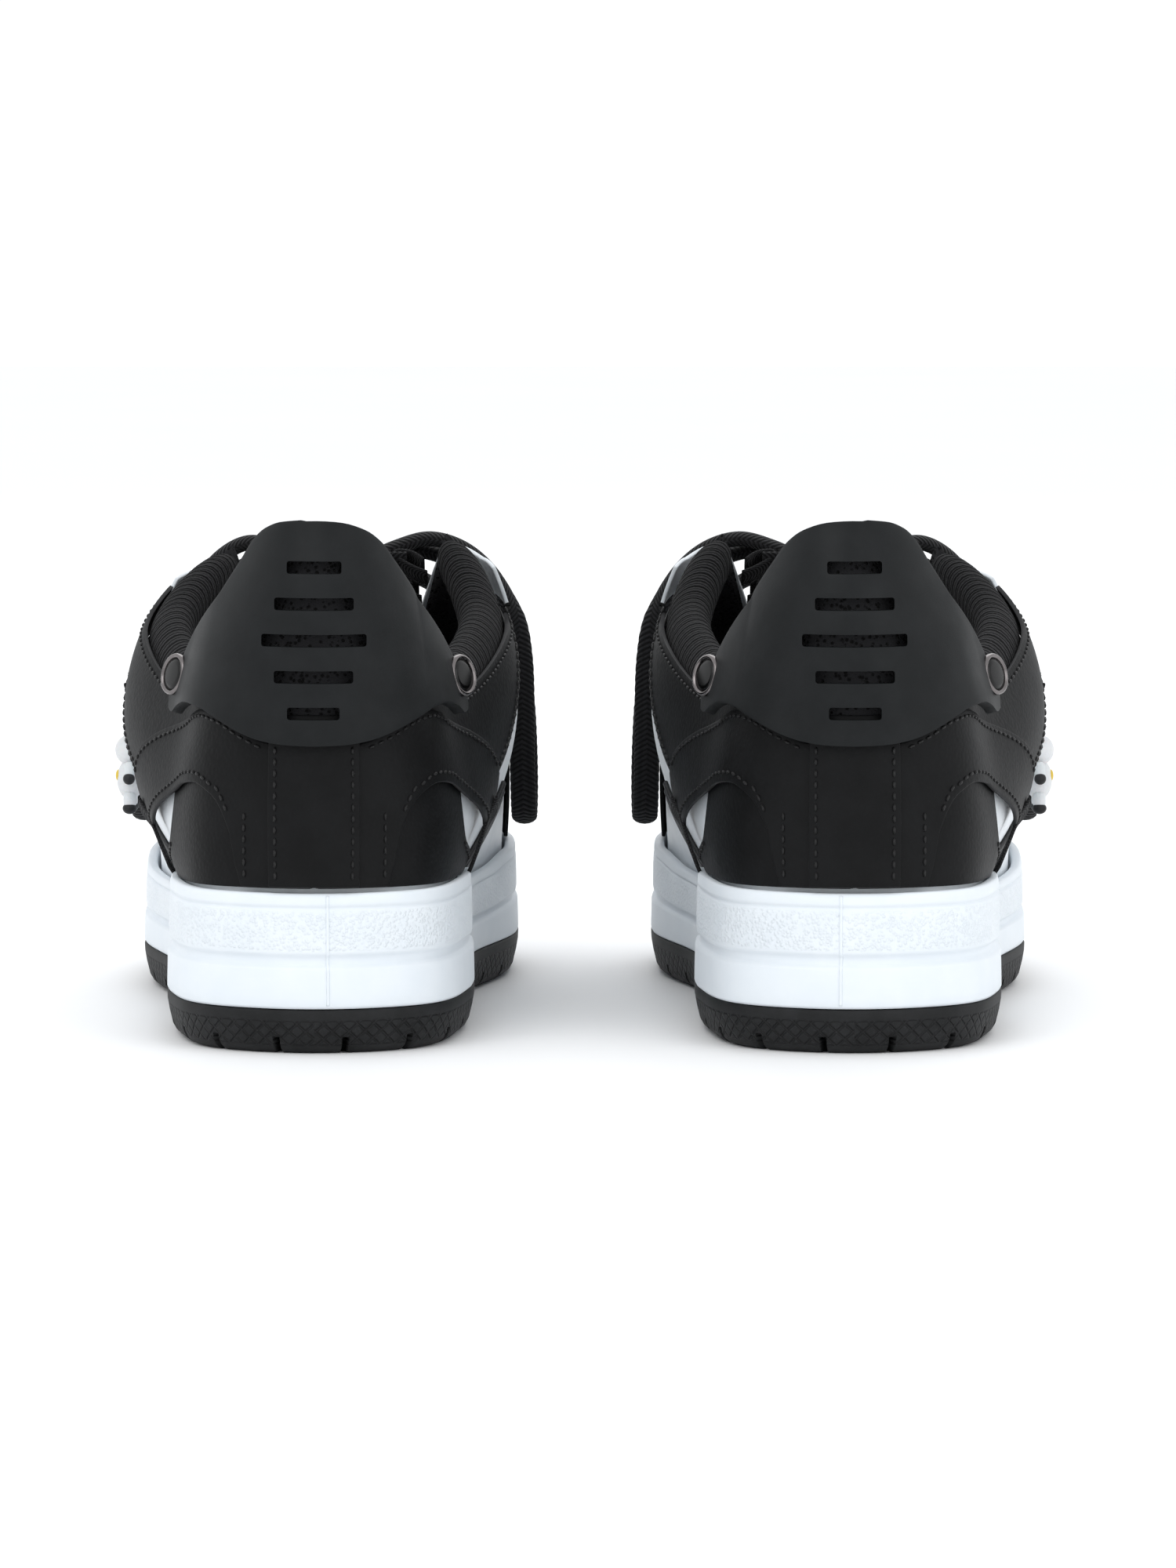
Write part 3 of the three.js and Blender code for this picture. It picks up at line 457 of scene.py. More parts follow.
TAIL_LATERAL = [
    (-5, 34, 121), (-12, 38.5, 120.5), (-19, 43, 118), (-25, 48.7, 112.9), (-29.8, 55.2, 106),
    (-36.2, 63, 97.6), (-43.2, 69.8, 86.2), (-49.5, 76, 75), (-53.6, 80.7, 64.7), (-55.4, 83.5, 56.5),
]


def route(points, steps):
    """Evenly spaced places on one smooth open curve through the points."""
    points = np.array(points, float)
    ends = [2 * points[0] - points[1]], points, [2 * points[-1] - points[-2]]
    curve = ClosedCurve(np.concatenate(ends))
    spans = len(points) - 1
    fine = np.linspace(1, spans + 1, spans * 40 + 1)[:-1] / curve.count
    line = np.concatenate([curve(fine), points[-1:]])
    run = np.concatenate([[0], np.cumsum(np.linalg.norm(np.diff(line, axis=0), axis=1))])
    even = np.linspace(0, run[-1], steps + 1)
    return np.column_stack([np.interp(even, run, line[:, k]) for k in range(3)]), run[-1]


def unit(vectors):
    return vectors / np.linalg.norm(vectors, axis=-1, keepdims=True)


def strap(name, line, across, width, thickness, material, sides=16, squareness=1.0, capped=True):
    """A woven strap with an oval section carried along a line; across gives the way its
    width runs, and width and thickness may change along it."""
    steps = len(line) - 1
    along = unit(np.gradient(line, axis=0))
    across = np.broadcast_to(across, line.shape)
    across = unit(across - (across * along).sum(-1, keepdims=True) * along)
    out = np.cross(along, across)
    width = np.broadcast_to(width, steps + 1)
    thickness = np.broadcast_to(thickness, steps + 1)

    def place(u, v):
        i = np.rint(u * steps).astype(int)
        c, s = np.cos(tau * v), np.sin(tau * v)
        flat = np.sign(c) * np.abs(c) ** squareness * width[i] / 2
        thick = np.sign(s) * np.abs(s) ** squareness * thickness[i] / 2
        return line[i] + across[i] * flat[:, None] + out[i] * thick[:, None]

    return grid_piece(name, steps, sides, place, material, closed=True, capped=capped)


def woven(name, colours, cord_length, width, rib):
    """Thick yarn woven on the bias: a herringbone of ribs along the strap. The colour follows the relief, so
    the grooves between ribs are painted darker as shade.
    """
    finish = Finish(name, Roughness=0.85, Sheen_Weight=0.05, Specular_IOR_Level=0.2)
    u, v, _ = finish.split(finish.uv)
    along = u * (cord_length / rib)
    around = v * (2 * width / rib)
    leaning = (v * 4).maths("PINGPONG", 1.0) * (width * 0.45 / rib)
    ribs = ((along + leaning) * tau).maths("SINE") * 0.5 + 0.5
    yarns = (around * tau).maths("SINE") * 0.5 + 0.5
    fibre = finish.noise(1800, 2)
    height = ribs * 0.7 + yarns * ribs * 0.3 + fibre * 0.15
    # Base colour follows the weave's height: the first tone is painted shade in the grooves, the second the
    # yarn's own tone on the crests.
    finish.drive("Base Color", finish.colours(height.clamped(0.1, 0.95), *colours))
    return finish.relief(height, 0.0006, 0.8).material


# A darker tone painted as shade in the weave's grooves, and the black yarn's own tone on the ribs.
LACE_BLACK_AND_GROOVE_SHADE = ((0.0012, 0.0012, 0.0014), (0.014, 0.014, 0.0155))
TIP_STEPS = 16


def loop_across(line):
    share = smoothstep(128 - line[:, 2], 4, 34)[:, None]
    return (1 - share) * (0, 1, 0) + share * (1, 0, 0)


def tail_across(line):
    share = smoothstep(110 - line[:, 2], 0, 40)[:, None]
    return (1 - share) * (0, 1, 0) + share * (0, 0.6, 0.8)


def moulded_tip(name, line, across):
    """The lace's end, wrapped in shiny black film."""
    finish = Finish("lace_tip_film", Roughness=0.25, Coat_Weight=0.5)
    finish.tinted(300, (0.008, 0.008, 0.009), (0.02, 0.02, 0.022))
    taper = 1 - 0.35 * np.linspace(0, 1, len(line)) ** 3
    taper[0] = 0.9
    return strap(name, line, across, 6.6 * taper, 3.9 * taper, finish.material, sides=14)


for name, points, is_loop in (
    ("lace_loop_medial", LOOP_MEDIAL, True),
    ("lace_loop_lateral", LOOP_LATERAL, True),
    ("lace_tail_medial", TAIL_MEDIAL, False),
    ("lace_tail_lateral", TAIL_LATERAL, False),
):
    steps = 240 if is_loop else 110
    line, lace_length = route(points, steps)
    across = loop_across(line) if is_loop else tail_across(line)
    weave = woven(name + "_weave", LACE_BLACK_AND_GROOVE_SHADE, lace_length, LACE_WIDTH, 1.5)
    cloth_end = steps + 1 if is_loop else steps - TIP_STEPS
    ripple = 1 + 0.02 * np.sin(np.linspace(0, lace_length / 1.5 * tau, steps + 1))
    cord = strap(
        "left_" + name + "_cord", line[:cloth_end], across[:cloth_end],
        (LACE_WIDTH * ripple)[:cloth_end], LACE_THICKNESS, weave,
    )
    cords = on_both_shoes(cord, "shoe", "lace_textile", name)
    tips = (None, None)
    if not is_loop:
        tip = moulded_tip("left_" + name + "_tip", line[cloth_end - 3:], across[cloth_end - 3:])
        tips = on_both_shoes(tip, "shoe", "lace_textile")
    for mirrored, (cord, tip) in enumerate(zip(cords, tips)):
        path = placed(line[:cloth_end]) * ((-1 if mirrored else 1), 1, 1)

# ---- Outsole ----
# Black rubber moulding: a rim with a notch every two centimetres, a hatched side wall, and
# diamond lugs inside the rim. It is glued under the midsole.
OUTSOLE_THICKNESS = 12.2
TOE_SPRING = 7
PERIMETER = girth_sums[-1]
AROUND = 288


def ground(y):
    return TOE_SPRING * np.maximum(0, (y / HALF_LENGTH - 0.6) / 0.4) ** 1.6


def sole_joint(y):
    return ground(y) * 0.8 + OUTSOLE_THICKNESS


def sole_wall(name, rings, material):
    """A sole layer, as rings round the shoe: the distance out from the outline, and the
    height over each place. The first and last ring are filled."""
    outs = np.array([ring[0] for ring in rings], float)

    def place(u, v):
        t = np.interp(u * PERIMETER, girth_sums, GIRTH_STEPS)
        index = np.rint(v * (len(rings) - 1)).astype(int)
        flat = sole_plan(t, outs[index])
        z = np.choose(index, [ring[1](flat[:, 1]) for ring in rings])
        return np.column_stack([flat, z])

    return grid_piece(name, AROUND, len(rings) - 1, place, material, closed=True, capped=True)


def moulded_rubber(name, low, high, roughness=0.55, **steady):
    steady.setdefault("Specular_IOR_Level", 0.25)
    finish = Finish(name, Roughness=roughness, **steady)
    finish.drive("Base Color", finish.colours(finish.noise(90, 5).clamped(0.3, 0.75), low, high))
    return finish


def outsole_rubber():
    finish = moulded_rubber("outsole_rubber", (0.006, 0.0065, 0.007), (0.014, 0.0145, 0.0155), 0.62)
    round_it, _, _ = finish.split(finish.uv)
    _, _, z = finish.split(finish.place)
    pitch = 0.0042
    run = round_it * (PERIMETER * MM / pitch)
    rise = z * (1 / pitch)
    leaning = ((run + rise) * pi).maths("SINE").maths("ABSOLUTE")
    falling = ((run - rise) * pi).maths("SINE").maths("ABSOLUTE")
    diamonds = leaning.maths("MINIMUM", falling).clamped(0.05, 0.5)
    band = z.clamped(0.0022, 0.0028) * (1 - z.clamped(0.0088, 0.0094))
    return finish.relief(diamonds * band + finish.noise(2500, 2) * 0.05, 0.0009).material


def cut_with(piece, cutter):
    """Cuts the cutter out of the piece, and keeps the result as the piece's own mesh."""
    cut = piece.modifiers.new("cut", "BOOLEAN")
    cut.object = cutter
    cut.solver = "EXACT"
    settle(piece)
    bpy.data.objects.remove(cutter)


def settle(piece):
    """Makes what the modifiers have made so far the piece's own mesh."""
    shown = piece.evaluated_get(bpy.context.evaluated_depsgraph_get())
    mesh = bpy.data.meshes.new_from_object(shown)
    piece.modifiers.clear()
    piece.data = mesh


def blocks(name, frames, sizes, rounding=0.0):
    """One object of box cutters, each at its own frame and size in millimetres."""
    bm = bmesh.new()
    for matrix, size in zip(frames, sizes):
        scale = Matrix.Diagonal((*(s * MM for s in size), 1))
        bmesh.ops.create_cube(bm, size=1, matrix=matrix @ scale)
    if rounding:
        bmesh.ops.bevel(
            bm, geom=bm.edges, offset=rounding * MM, segments=3, affect="EDGES", profile=0.5, material=-1
        )
    return made(bm, name, outsole_black)


def frame_at(place, along, up):
    """A matrix at a place in millimetres about the left shoe, its Y axis along and Z up."""
    y = Vector(along).normalized()
    x = y.cross(Vector(up)).normalized()
    turn = Matrix((x, y, x.cross(y))).transposed().to_4x4()
    return Matrix.Translation(Vector(placed(place))) @ turn


outsole_black = outsole_rubber()
outsole = sole_wall("left_outsole_rubber", [
    (-10.5, lambda y: ground(y) + 2),
    (-9, lambda y: ground(y) + 2),
    (-8.4, lambda y: ground(y) + 0.3),
    (-7.9, ground),
    (-4.2, ground),
    (-3, lambda y: ground(y) + 0.4),
    (-1.5, lambda y: ground(y) + 1.6),
    (-0.7, lambda y: ground(y) + 3),
    (0.2, lambda y: sole_joint(y) - 5.5),
    (0.7, lambda y: sole_joint(y) - 2.6),
    (0.8, lambda y: sole_joint(y) - 0.6),
    (0.5, sole_joint),
    (-6, sole_joint),
], outsole_black)
NOTCH_COUNT = 36
notch_t = np.interp((np.arange(NOTCH_COUNT) + 0.55) / NOTCH_COUNT * PERIMETER, girth_sums, GIRTH_STEPS)
notch_in, notch_out = sole_plan(notch_t, -6.0), sole_plan(notch_t, 2.0)
notch_frames = [
    frame_at((*(a + b) / 2, ground(b[1]) + 1.2), (*(b - a), 0), (0, 0, 1))
    for a, b in zip(notch_in, notch_out)
]
cut_with(outsole, blocks("notches", notch_frames, [(2.0, 9, 7)] * NOTCH_COUNT))
on_both_shoes(outsole, "shoe", "outsole_rubber", "outsole")



def inside(outline, x, y):
    """Whether a place lies within a closed outline."""
    ahead = np.roll(outline, -1, axis=0)
    spans = (outline[:, 1] > y) != (ahead[:, 1] > y)
    share = (y - outline[:, 1]) / (ahead[:, 1] - outline[:, 1] + 1e-9)
    crossing = outline[:, 0] + share * (ahead - outline)[:, 0]
    return np.count_nonzero(spans & (x < crossing)) % 2 == 1


LUG_PITCH = 9.0
lug_field = sole_plan(np.linspace(0, 1, 240, endpoint=False), -14.0)
bm = bmesh.new()
for i in range(-8, 9):
    for j in range(-34, 35):
        x, y = (i + (j % 2) / 2) * LUG_PITCH, j * LUG_PITCH / 2
        if inside(lug_field, x, y):
            lug = Matrix.Translation(Vector(placed((x, y, ground(y) + 1.1))))
            bmesh.ops.create_cone(
                bm, cap_ends=True, segments=4, radius1=3.4 * MM, radius2=3.9 * MM, depth=2.2 * MM, matrix=lug
            )
on_both_shoes(made(bm, "left_tread_diamonds", outsole_black), "shoe", "outsole_rubber")

# ---- Midsole ----
# White rubber cup, stitched and glued round the upper. Its wall has a pebbled band over a
# deep groove, a fine groove under its lip, and the mould's parting line at the back.
GAP = 0.3


def cup(share):
    def height(y):
        bottom = sole_joint(y) + GAP
        return bottom + (sole_top(y) - bottom) * share

    return height


CUP_WALL = [
    (-6, 0), (0.4, 0), (0.8, 0.025), (0.78, 0.1), (0.62, 0.33), (0.4, 0.362), (-0.5, 0.375), (-0.9, 0.39),
    (-0.95, 0.42), (-0.85, 0.445), (-0.4, 0.46), (0.1, 0.472), (0.24, 0.495), (0.24, 0.55), (0.18, 0.7),
    (0.06, 0.845), (-0.1, 0.858), (-0.5, 0.868), (-0.5, 0.882), (-0.12, 0.892), (-0.08, 0.915),
    (-0.12, 0.955), (-0.35, 0.985), (-0.8, 1.0), (-2.4, 1.0), (-3.0, 0.99), (-3.2, 0.97),
]
BAND_LOW, BAND_HIGH = 12 / 28, 15.2 / 28


def midsole_rubber():
    finish = moulded_rubber("midsole_rubber", (0.735, 0.785, 0.83), (0.765, 0.81, 0.85), 0.42)
    _, height, _ = finish.split(finish.uv)
    band = height.clamped(BAND_LOW, BAND_LOW + 0.015) * (1 - height.clamped(BAND_HIGH - 0.015, BAND_HIGH))
    pebbles = 1 - finish.cells(1050).clamped(0.15, 0.65)
    soft = finish.noise(1500, 2) * 0.06
    finish.drive("Roughness", 0.36 + finish.noise(60, 4) * 0.16)
    return finish.relief(pebbles * band + soft, 0.00025, 0.8).material


midsole_white = midsole_rubber()
seat_depth = [(-3.5, lambda y: sole_top(y) - 7.2), (-6, lambda y: sole_top(y) - 7.2)]
midsole = sole_wall(
    "left_midsole_rubber", [(out, cup(share)) for out, share in CUP_WALL] + seat_depth, midsole_white
)
on_both_shoes(midsole, "shoe", "midsole_rubber", "midsole")

wall_out = through(*[(share, out) for out, share in CUP_WALL[1:24]])
seam_share = np.linspace(0.03, 0.98, 60)
seam_flat = sole_plan(np.full(60, station(3.4)), wall_out(seam_share) + 0.05)
seam_line = np.column_stack([seam_flat, cup(seam_share)(seam_flat[:, 1])])
parting_line = strap("left_parting_line", seam_line, (1, 0, 0), 0.9, 0.5, midsole_white, sides=8)
on_both_shoes(parting_line, "shoe", "midsole_rubber")

# ---- Board, counter and insole ----
# The upper is pulled over a fibre board and glued into the cup. A moulded counter stiffens
# the heel between shell and lining, and a foam insole faced with mesh lies on the board.
fibreboard = Finish("fibreboard", Roughness=0.85)
fibreboard.tinted(700, (0.35, 0.26, 0.16), (0.52, 0.42, 0.29), detail=4)
fibreboard.relief(fibreboard.noise(1400, 3), 0.0003)
for side in ("left", "right"):
    for node in ("lasting_board", "heel_counter"):
        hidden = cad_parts[f"{side}_{node}"]
        for material_slot in hidden.material_slots:
            material_slot.material = fibreboard.material


def spacer_mesh(name, hole_pitch, low, high):
    """Warp-knitted mesh with staggered round holes, painted darker in the holes as shade."""
    finish = Finish(name, Roughness=0.85, Sheen_Weight=0.04, Specular_IOR_Level=0.2)
    holes = finish.cells(1 / (hole_pitch * MM)).clamped(0.2, 0.45)
    fuzz = finish.noise(2500, 2)
    # The holes take the low tone as painted shade; the yarn between them takes the high tone.
    finish.drive("Base Color", finish.colours(holes, low, high))
    return finish.relief(holes + fuzz * 0.2, 0.0007, 0.8).material


# The darker tone is painted shade in the mesh's holes.
lining_mesh = spacer_mesh("lining_mesh", 1.5, (0.002, 0.002, 0.002), (0.02, 0.02, 0.022))
insole_top = [lambda y, lift=lift: sole_top(y) - 4.1 + lift for lift in (0, 0, 0.6, 2.8, 3.6, 4.0, 4.0)]
insole_outs = (-16, -10.4, -9.8, -9.8, -10.3, -11.6, -24)
insole = sole_wall("left_insole_foam", list(zip(insole_outs, insole_top)), lining_mesh)
on_both_shoes(insole, "shoe", "insole_textile", "insole")

# ---- Upper shell ----
# The white leather underlay that all other layers are sewn on. It shows in the windows
# behind the heel straps, along the sides and under the lacing.
LAYER_GAP, SKIN = 0.55, 1.2
BACKSTAY_THICKNESS, GUARD_THICKNESS = 1.0, 3.0
SHELL_OUTER = 0.0
FIRST_LAYER = SHELL_OUTER + LAYER_GAP + SKIN
SECOND_LAYER = FIRST_LAYER + LAYER_GAP + SKIN
THIRD_LAYER = SECOND_LAYER + LAYER_GAP + BACKSTAY_THICKNESS
GUARD_LAYER = THIRD_LAYER + LAYER_GAP + GUARD_THICKNESS
ROLL_HEIGHT = 16
ROLL_REACH_LATERAL, ROLL_REACH_MEDIAL = 189, 204


def leather(name, low, high, roughness, grain=900, depth=0.00018, **steady):
    """Coated split leather: fine pores, faint creases and a soft, uneven shine."""
    finish = Finish(name, **steady)
    creases = finish.noise(70, 5, 0.6)
    pores = finish.cells(grain, feature="SMOOTH_F1")
    finish.drive("Base Color", finish.colours(creases.clamped(0.3, 0.7), low, high))
    finish.drive("Roughness", roughness + creases * 0.12 + pores * 0.06)
    return finish.relief(pores * 0.7 + creases * 0.5 + finish.noise(3000, 2) * 0.15, depth, 0.7).material


white_leather = leather("white_leather", (0.66, 0.70, 0.73), (0.76, 0.79, 0.82), 0.38)
black_leather = leather(
    "black_leather", (0.0022, 0.0023, 0.0026), (0.0046, 0.0048, 0.0053), 0.46, Specular_IOR_Level=0.14
)
# The panels' cut rims get this lighter grey as a painted highlight along their edges.
edge_highlight_paint = moulded_rubber("leather_cut_edge", (0.012, 0.012, 0.013), (0.030, 0.030, 0.032), 0.7).material


def under_roll(t):
    reach = np.where(np.mod(t, 1) < 0.5, ROLL_REACH_LATERAL, ROLL_REACH_MEDIAL)
    rolled = 1 - smoothstep(girth_of(t), reach - 1, reach + 9)
    return share_at(t, topline_z(t) - rolled * (ROLL_HEIGHT + 0.6))


def shell_place(u, v):
    t = np.interp(u * PERIMETER, girth_sums, GIRTH_STEPS)
    low, high = share_at(t, rim_z(t) - 5), under_roll(t)
    up = np.clip(1 - np.abs(2 * v - 1) * 1.04, 0, 1)
    out = np.where(v < 0.5, -SKIN, SHELL_OUTER)
    middle = np.abs(v - 0.5) < 0.012
    out = np.where(middle | (v < 0.001) | (v > 0.999), -SKIN / 2, out)
    return on_last(t, low + (high - low) * up, out)[0]


def lined(piece, materials, chosen):
    """Gives each face the material that chosen picks by its place in the UV map."""
    for material in materials:
        piece.data.materials.append(material)
    layer = piece.data.uv_layers[0].data
    for face in piece.data.polygons:
        u, v = np.mean([layer[i].uv for i in face.loop_indices], axis=0)
        face.material_index = chosen(u, v)


shell = grid_piece("left_upper_shell_leather", AROUND, 50, shell_place, white_leather, closed=True)


def shell_face(u, v):
    """Lining inside, black leather along the topline and beside the peaks, else white."""
    girth = min(u, 1 - u) * PERIMETER
    up = 1 - abs(2 * v - 1) * 1.04
    if v < 0.5:
        return 1
    return 2 if up > (0.76 if 148 < girth < 200 else 0.93) else 0


lined(shell, (lining_mesh, black_leather), shell_face)
on_both_shoes(shell, "shoe", "white_leather", "upper_shell")

LINING_INNER = -SKIN - 2 * LAYER_GAP - 0.3 - 2 * SKIN


def lining_place(u, v):
    t = station((2 * u - 1) * 226)
    top = np.minimum(under_roll(t), share_at(t, topline_z(t) - 2.5))
    return on_last(t, -0.02 + (top + 0.02) * v, LINING_INNER + SKIN)[0]


lining = thickened(grid_piece("left_collar_lining_mesh", 200, 24, lining_place, lining_mesh), SKIN, 0.2)
on_both_shoes(lining, "shoe", "mesh_lining", "collar_lining")


# ---- Leather overlays ----
# Black leather pieces cut flat, skived at the edges and sewn on in layers: side panels low
# on the heel, quarters round the collar, and winged overlays with an arch over each side
# panel. White leather makes the vamp and the eyestay, and a black cap covers the toes.
def girth_panel(name, side, girths, foot, top, layer, material, rows=14, skin=SKIN):
    """A panel on one side of the shoe between two girths. foot and top give heights."""
    start, end = girths
    columns = round((end - start) / 1.6)

    def place(u, v):
        girth = start + (end - start) * u
        t = station(side * girth)
        low, high = foot(t, girth), top(t, girth)
        return on_last(t, share_at(t, low + (high - low) * v), layer)[0]

    piece = grid_piece(f"left_{name}", columns, rows, place, material)
    return thickened(piece, skin, 0.35, edge_highlight_paint)


def over_rim(t, girth):
    return rim_z(t) + 0.9


quarter_foot = through(
    (3, 78), (20, 80), (36, 85), (60, 80), (72, 76.5), (85, 72), (98, 66), (112, 71), (126, 81),
    (138, 92), (150, 104), (158, 114),
)
overlay_top = through(
    (0, 83.5), (12, 84.2), (20, 86.8), (30, 90.6), (37, 91.5), (46, 90), (54, 87.5), (64, 85.2),
    (74, 83), (86, 79.5), (95, 75.5), (101, 70),
)
arch_edge = through(
    (20, 44), (23, 60), (29, 69), (37, 72), (46, 71), (54, 68.5), (64, 65.5), (74, 62.5), (86, 58.5),
    (95, 56), (101, 60),
)
side_panel_top = through(
    (0, 74), (37, 77), (54, 75), (59, 72), (61.5, 60), (66, 54.5), (74, 51.5), (82, 49.5)
)


def overlay_foot(t, girth):
    return np.where(girth < 20.6, over_rim(t, girth), np.maximum(arch_edge(girth), over_rim(t, girth)))


def quarter_top(t, girth):
    return topline_z(t) - 9


for side, hand in SIDES:
    side_panel = girth_panel(
        f"side_panel_{hand}_leather", side, (1, 82), over_rim,
        lambda t, girth: side_panel_top(girth), FIRST_LAYER, black_leather,
    )
    on_both_shoes(side_panel, "shoe", "black_leather", f"side_panel_{hand}")
    quarter = girth_panel(
        f"quarter_{hand}_leather", side, (3, 158), lambda t, girth: quarter_foot(girth), quarter_top,
        FIRST_LAYER, black_leather, rows=20,
    )
    on_both_shoes(quarter, "shoe", "black_leather", f"quarter_{hand}")
    overlay = girth_panel(
        f"heel_overlay_{hand}_leather", side, (0.3, 101), overlay_foot,
        lambda t, girth: overlay_top(girth), SECOND_LAYER, black_leather, rows=18,
    )
    on_both_shoes(overlay, "shoe", "black_leather", f"heel_overlay_{hand}")

BACKSTAY_HALF = 11.25
backstay = girth_panel(
    "backstay_leather", MEDIAL, (-BACKSTAY_HALF, BACKSTAY_HALF), over_rim,
    lambda t, girth: np.full_like(t, 92.0), THIRD_LAYER, black_leather, rows=24,
    skin=BACKSTAY_THICKNESS,
)
on_both_shoes(backstay, "shoe", "black_leather", "backstay")


def front_panel(name, ends, low, high, layer, material, rows=16):
    """A panel that runs round the toe from the lateral to the medial side; low and high
    are shares of the way up the last."""

    def place(u, v):
        t = (ends[0] + (ends[1] - ends[0]) * u) / 12
        bottom, top = low(t), high(t)
        return on_last(t, bottom + (top - bottom) * v, layer)[0]

    return thickened(grid_piece(f"left_{name}", 150, rows, place, material), SKIN, 0.35)


def eyestay_foot(t):
    return 0.76 + 0.08 * np.cos((t * 12 - 6) * (pi / 4.8))


def eyestay_top(t):
    return 0.995 - 0.11 * smoothstep(np.abs(t * 12 - 6), 1.6, 2.05)


eyestay = front_panel(
    "eyestay_leather", (3.72, 8.28), eyestay_foot, eyestay_top, SECOND_LAYER,
    white_leather, rows=10,
)
on_both_shoes(eyestay, "shoe", "white_leather", "eyestay")
vamp = front_panel(
    "vamp_leather", (4.5, 7.6), lambda t: np.full_like(t, 0.4), lambda t: np.full_like(t, 0.97),
    FIRST_LAYER, white_leather, rows=30,
)
on_both_shoes(vamp, "shoe", "white_leather", "vamp")
toe_cap = front_panel(
    "toe_cap_leather", (4.35, 7.75), lambda t: share_at(t, rim_z(t) + 0.9),
    lambda t: np.full_like(t, 0.37), FIRST_LAYER, black_leather,
)
on_both_shoes(toe_cap, "shoe", "black_leather", "toe_cap")

# ---- Heel guard and rivets ----
# A shaped guard moulded in charcoal rubber stands round the back of the collar, with five
# slots across it. Two domed rivets with enamelled faces hold its arms to the quarters.
GUARD_TOP, GUARD_REACH = 141, 60.5
guard_drop = through(
    (0, 0), (6, 0.3), (12, 2), (17.5, 5.5), (22, 10.5), (27, 16), (32, 21.5), (38, 26.8), (46, 33),
    (53, 38.5), (58, 42), (60.5, 46),
)
guard_foot = through(
    (0, 83.6), (6, 83.8), (12, 84.6), (17.5, 86.2), (22, 88), (27, 90), (32, 91.6), (38, 92.2),
    (46, 90.6), (53, 88.2), (58, 88.8), (60.5, 92),
)
SLOT_WIDTHS = (14.3, 21.6, 28.7, 21.7, 15)
LOWEST_SLOT, SLOT_PITCH, SLOT_HEIGHT = 93, 9.8, 3.4


def guard_rubber():
    finish = moulded_rubber(
        "guard_rubber", (0.0062, 0.0072, 0.0079), (0.0092, 0.0103, 0.0112), 0.5, Specular_IOR_Level=0.16
    )
    finish.drive("Roughness", 0.44 + finish.noise(35, 5).clamped(0.3, 0.8) * 0.18)
    return finish.relief(finish.noise(4200, 2) + finish.noise(60, 3) * 0.3, 0.00005, 0.6).material


guard_charcoal = guard_rubber()


def guard_place(u, v):
    girth = (2 * u - 1) * GUARD_REACH
    t = station(girth)
    low, high = guard_foot(np.abs(girth)), GUARD_TOP - guard_drop(np.abs(girth))
    return on_last(t, share_at(t, low + (high - low) * v), GUARD_LAYER)[0]


guard = grid_piece("left_heel_guard_rubber", 90, 36, guard_place, guard_charcoal)
guard_wall = guard.modifiers.new("thickness", "SOLIDIFY")
guard_wall.thickness = GUARD_THICKNESS * MM
settle(guard)
slot_frames = [
    frame_at((0, -HALF_LENGTH, LOWEST_SLOT + i * SLOT_PITCH), (0, 1, 0), (0, 0, 1))
    for i in range(len(SLOT_WIDTHS))
]
slot_sizes = [(width, 40, SLOT_HEIGHT) for width in SLOT_WIDTHS]
cut_with(guard, blocks("slots", slot_frames, slot_sizes, rounding=0.7))
rounded_edges(guard, 0.6, segments=3)
on_both_shoes(guard, "shoe", "guard_rubber", "heel_guard")

RIVET_GIRTH, RIVET_Z, RIVET_RADIUS = 54, 98, 5.85
RIVET_LEAN = 0.42
rivet_ring_metal = Finish("gunmetal", Metallic=1.0)
rivet_ring_metal.drive("Roughness", 0.16 + rivet_ring_metal.noise(400, 3) * 0.14)
rivet_ring_metal.tinted(250, (0.12, 0.11, 0.11), (0.24, 0.22, 0.22))
rivet_enamel = Finish("black_enamel", Roughness=0.22, Specular_IOR_Level=0.3)
rivet_enamel.tinted(200, (0.001, 0.001, 0.001), (0.003, 0.003, 0.003))


def turned(name, profile, frame_matrix, material, steps=48):
    """A turned part: a profile of (radius, height) in millimetres spun about its frame's
    Z axis."""
    bm = bmesh.new()
    verts = [bm.verts.new((radius * MM, 0, height * MM)) for radius, height in profile]
    edges = [bm.edges.new(pair) for pair in zip(verts, verts[1:])]
    bmesh.ops.spin(
        bm, geom=verts + edges, cent=(0, 0, 0), axis=(0, 0, 1), angle=tau, steps=steps, use_merge=True,
        use_duplicate=False,
    )
    bmesh.ops.remove_doubles(bm, verts=bm.verts, dist=1e-6)
    bmesh.ops.recalc_face_normals(bm, faces=bm.faces)
    bmesh.ops.transform(bm, matrix=frame_matrix, verts=bm.verts)
    return made(bm, name, material)


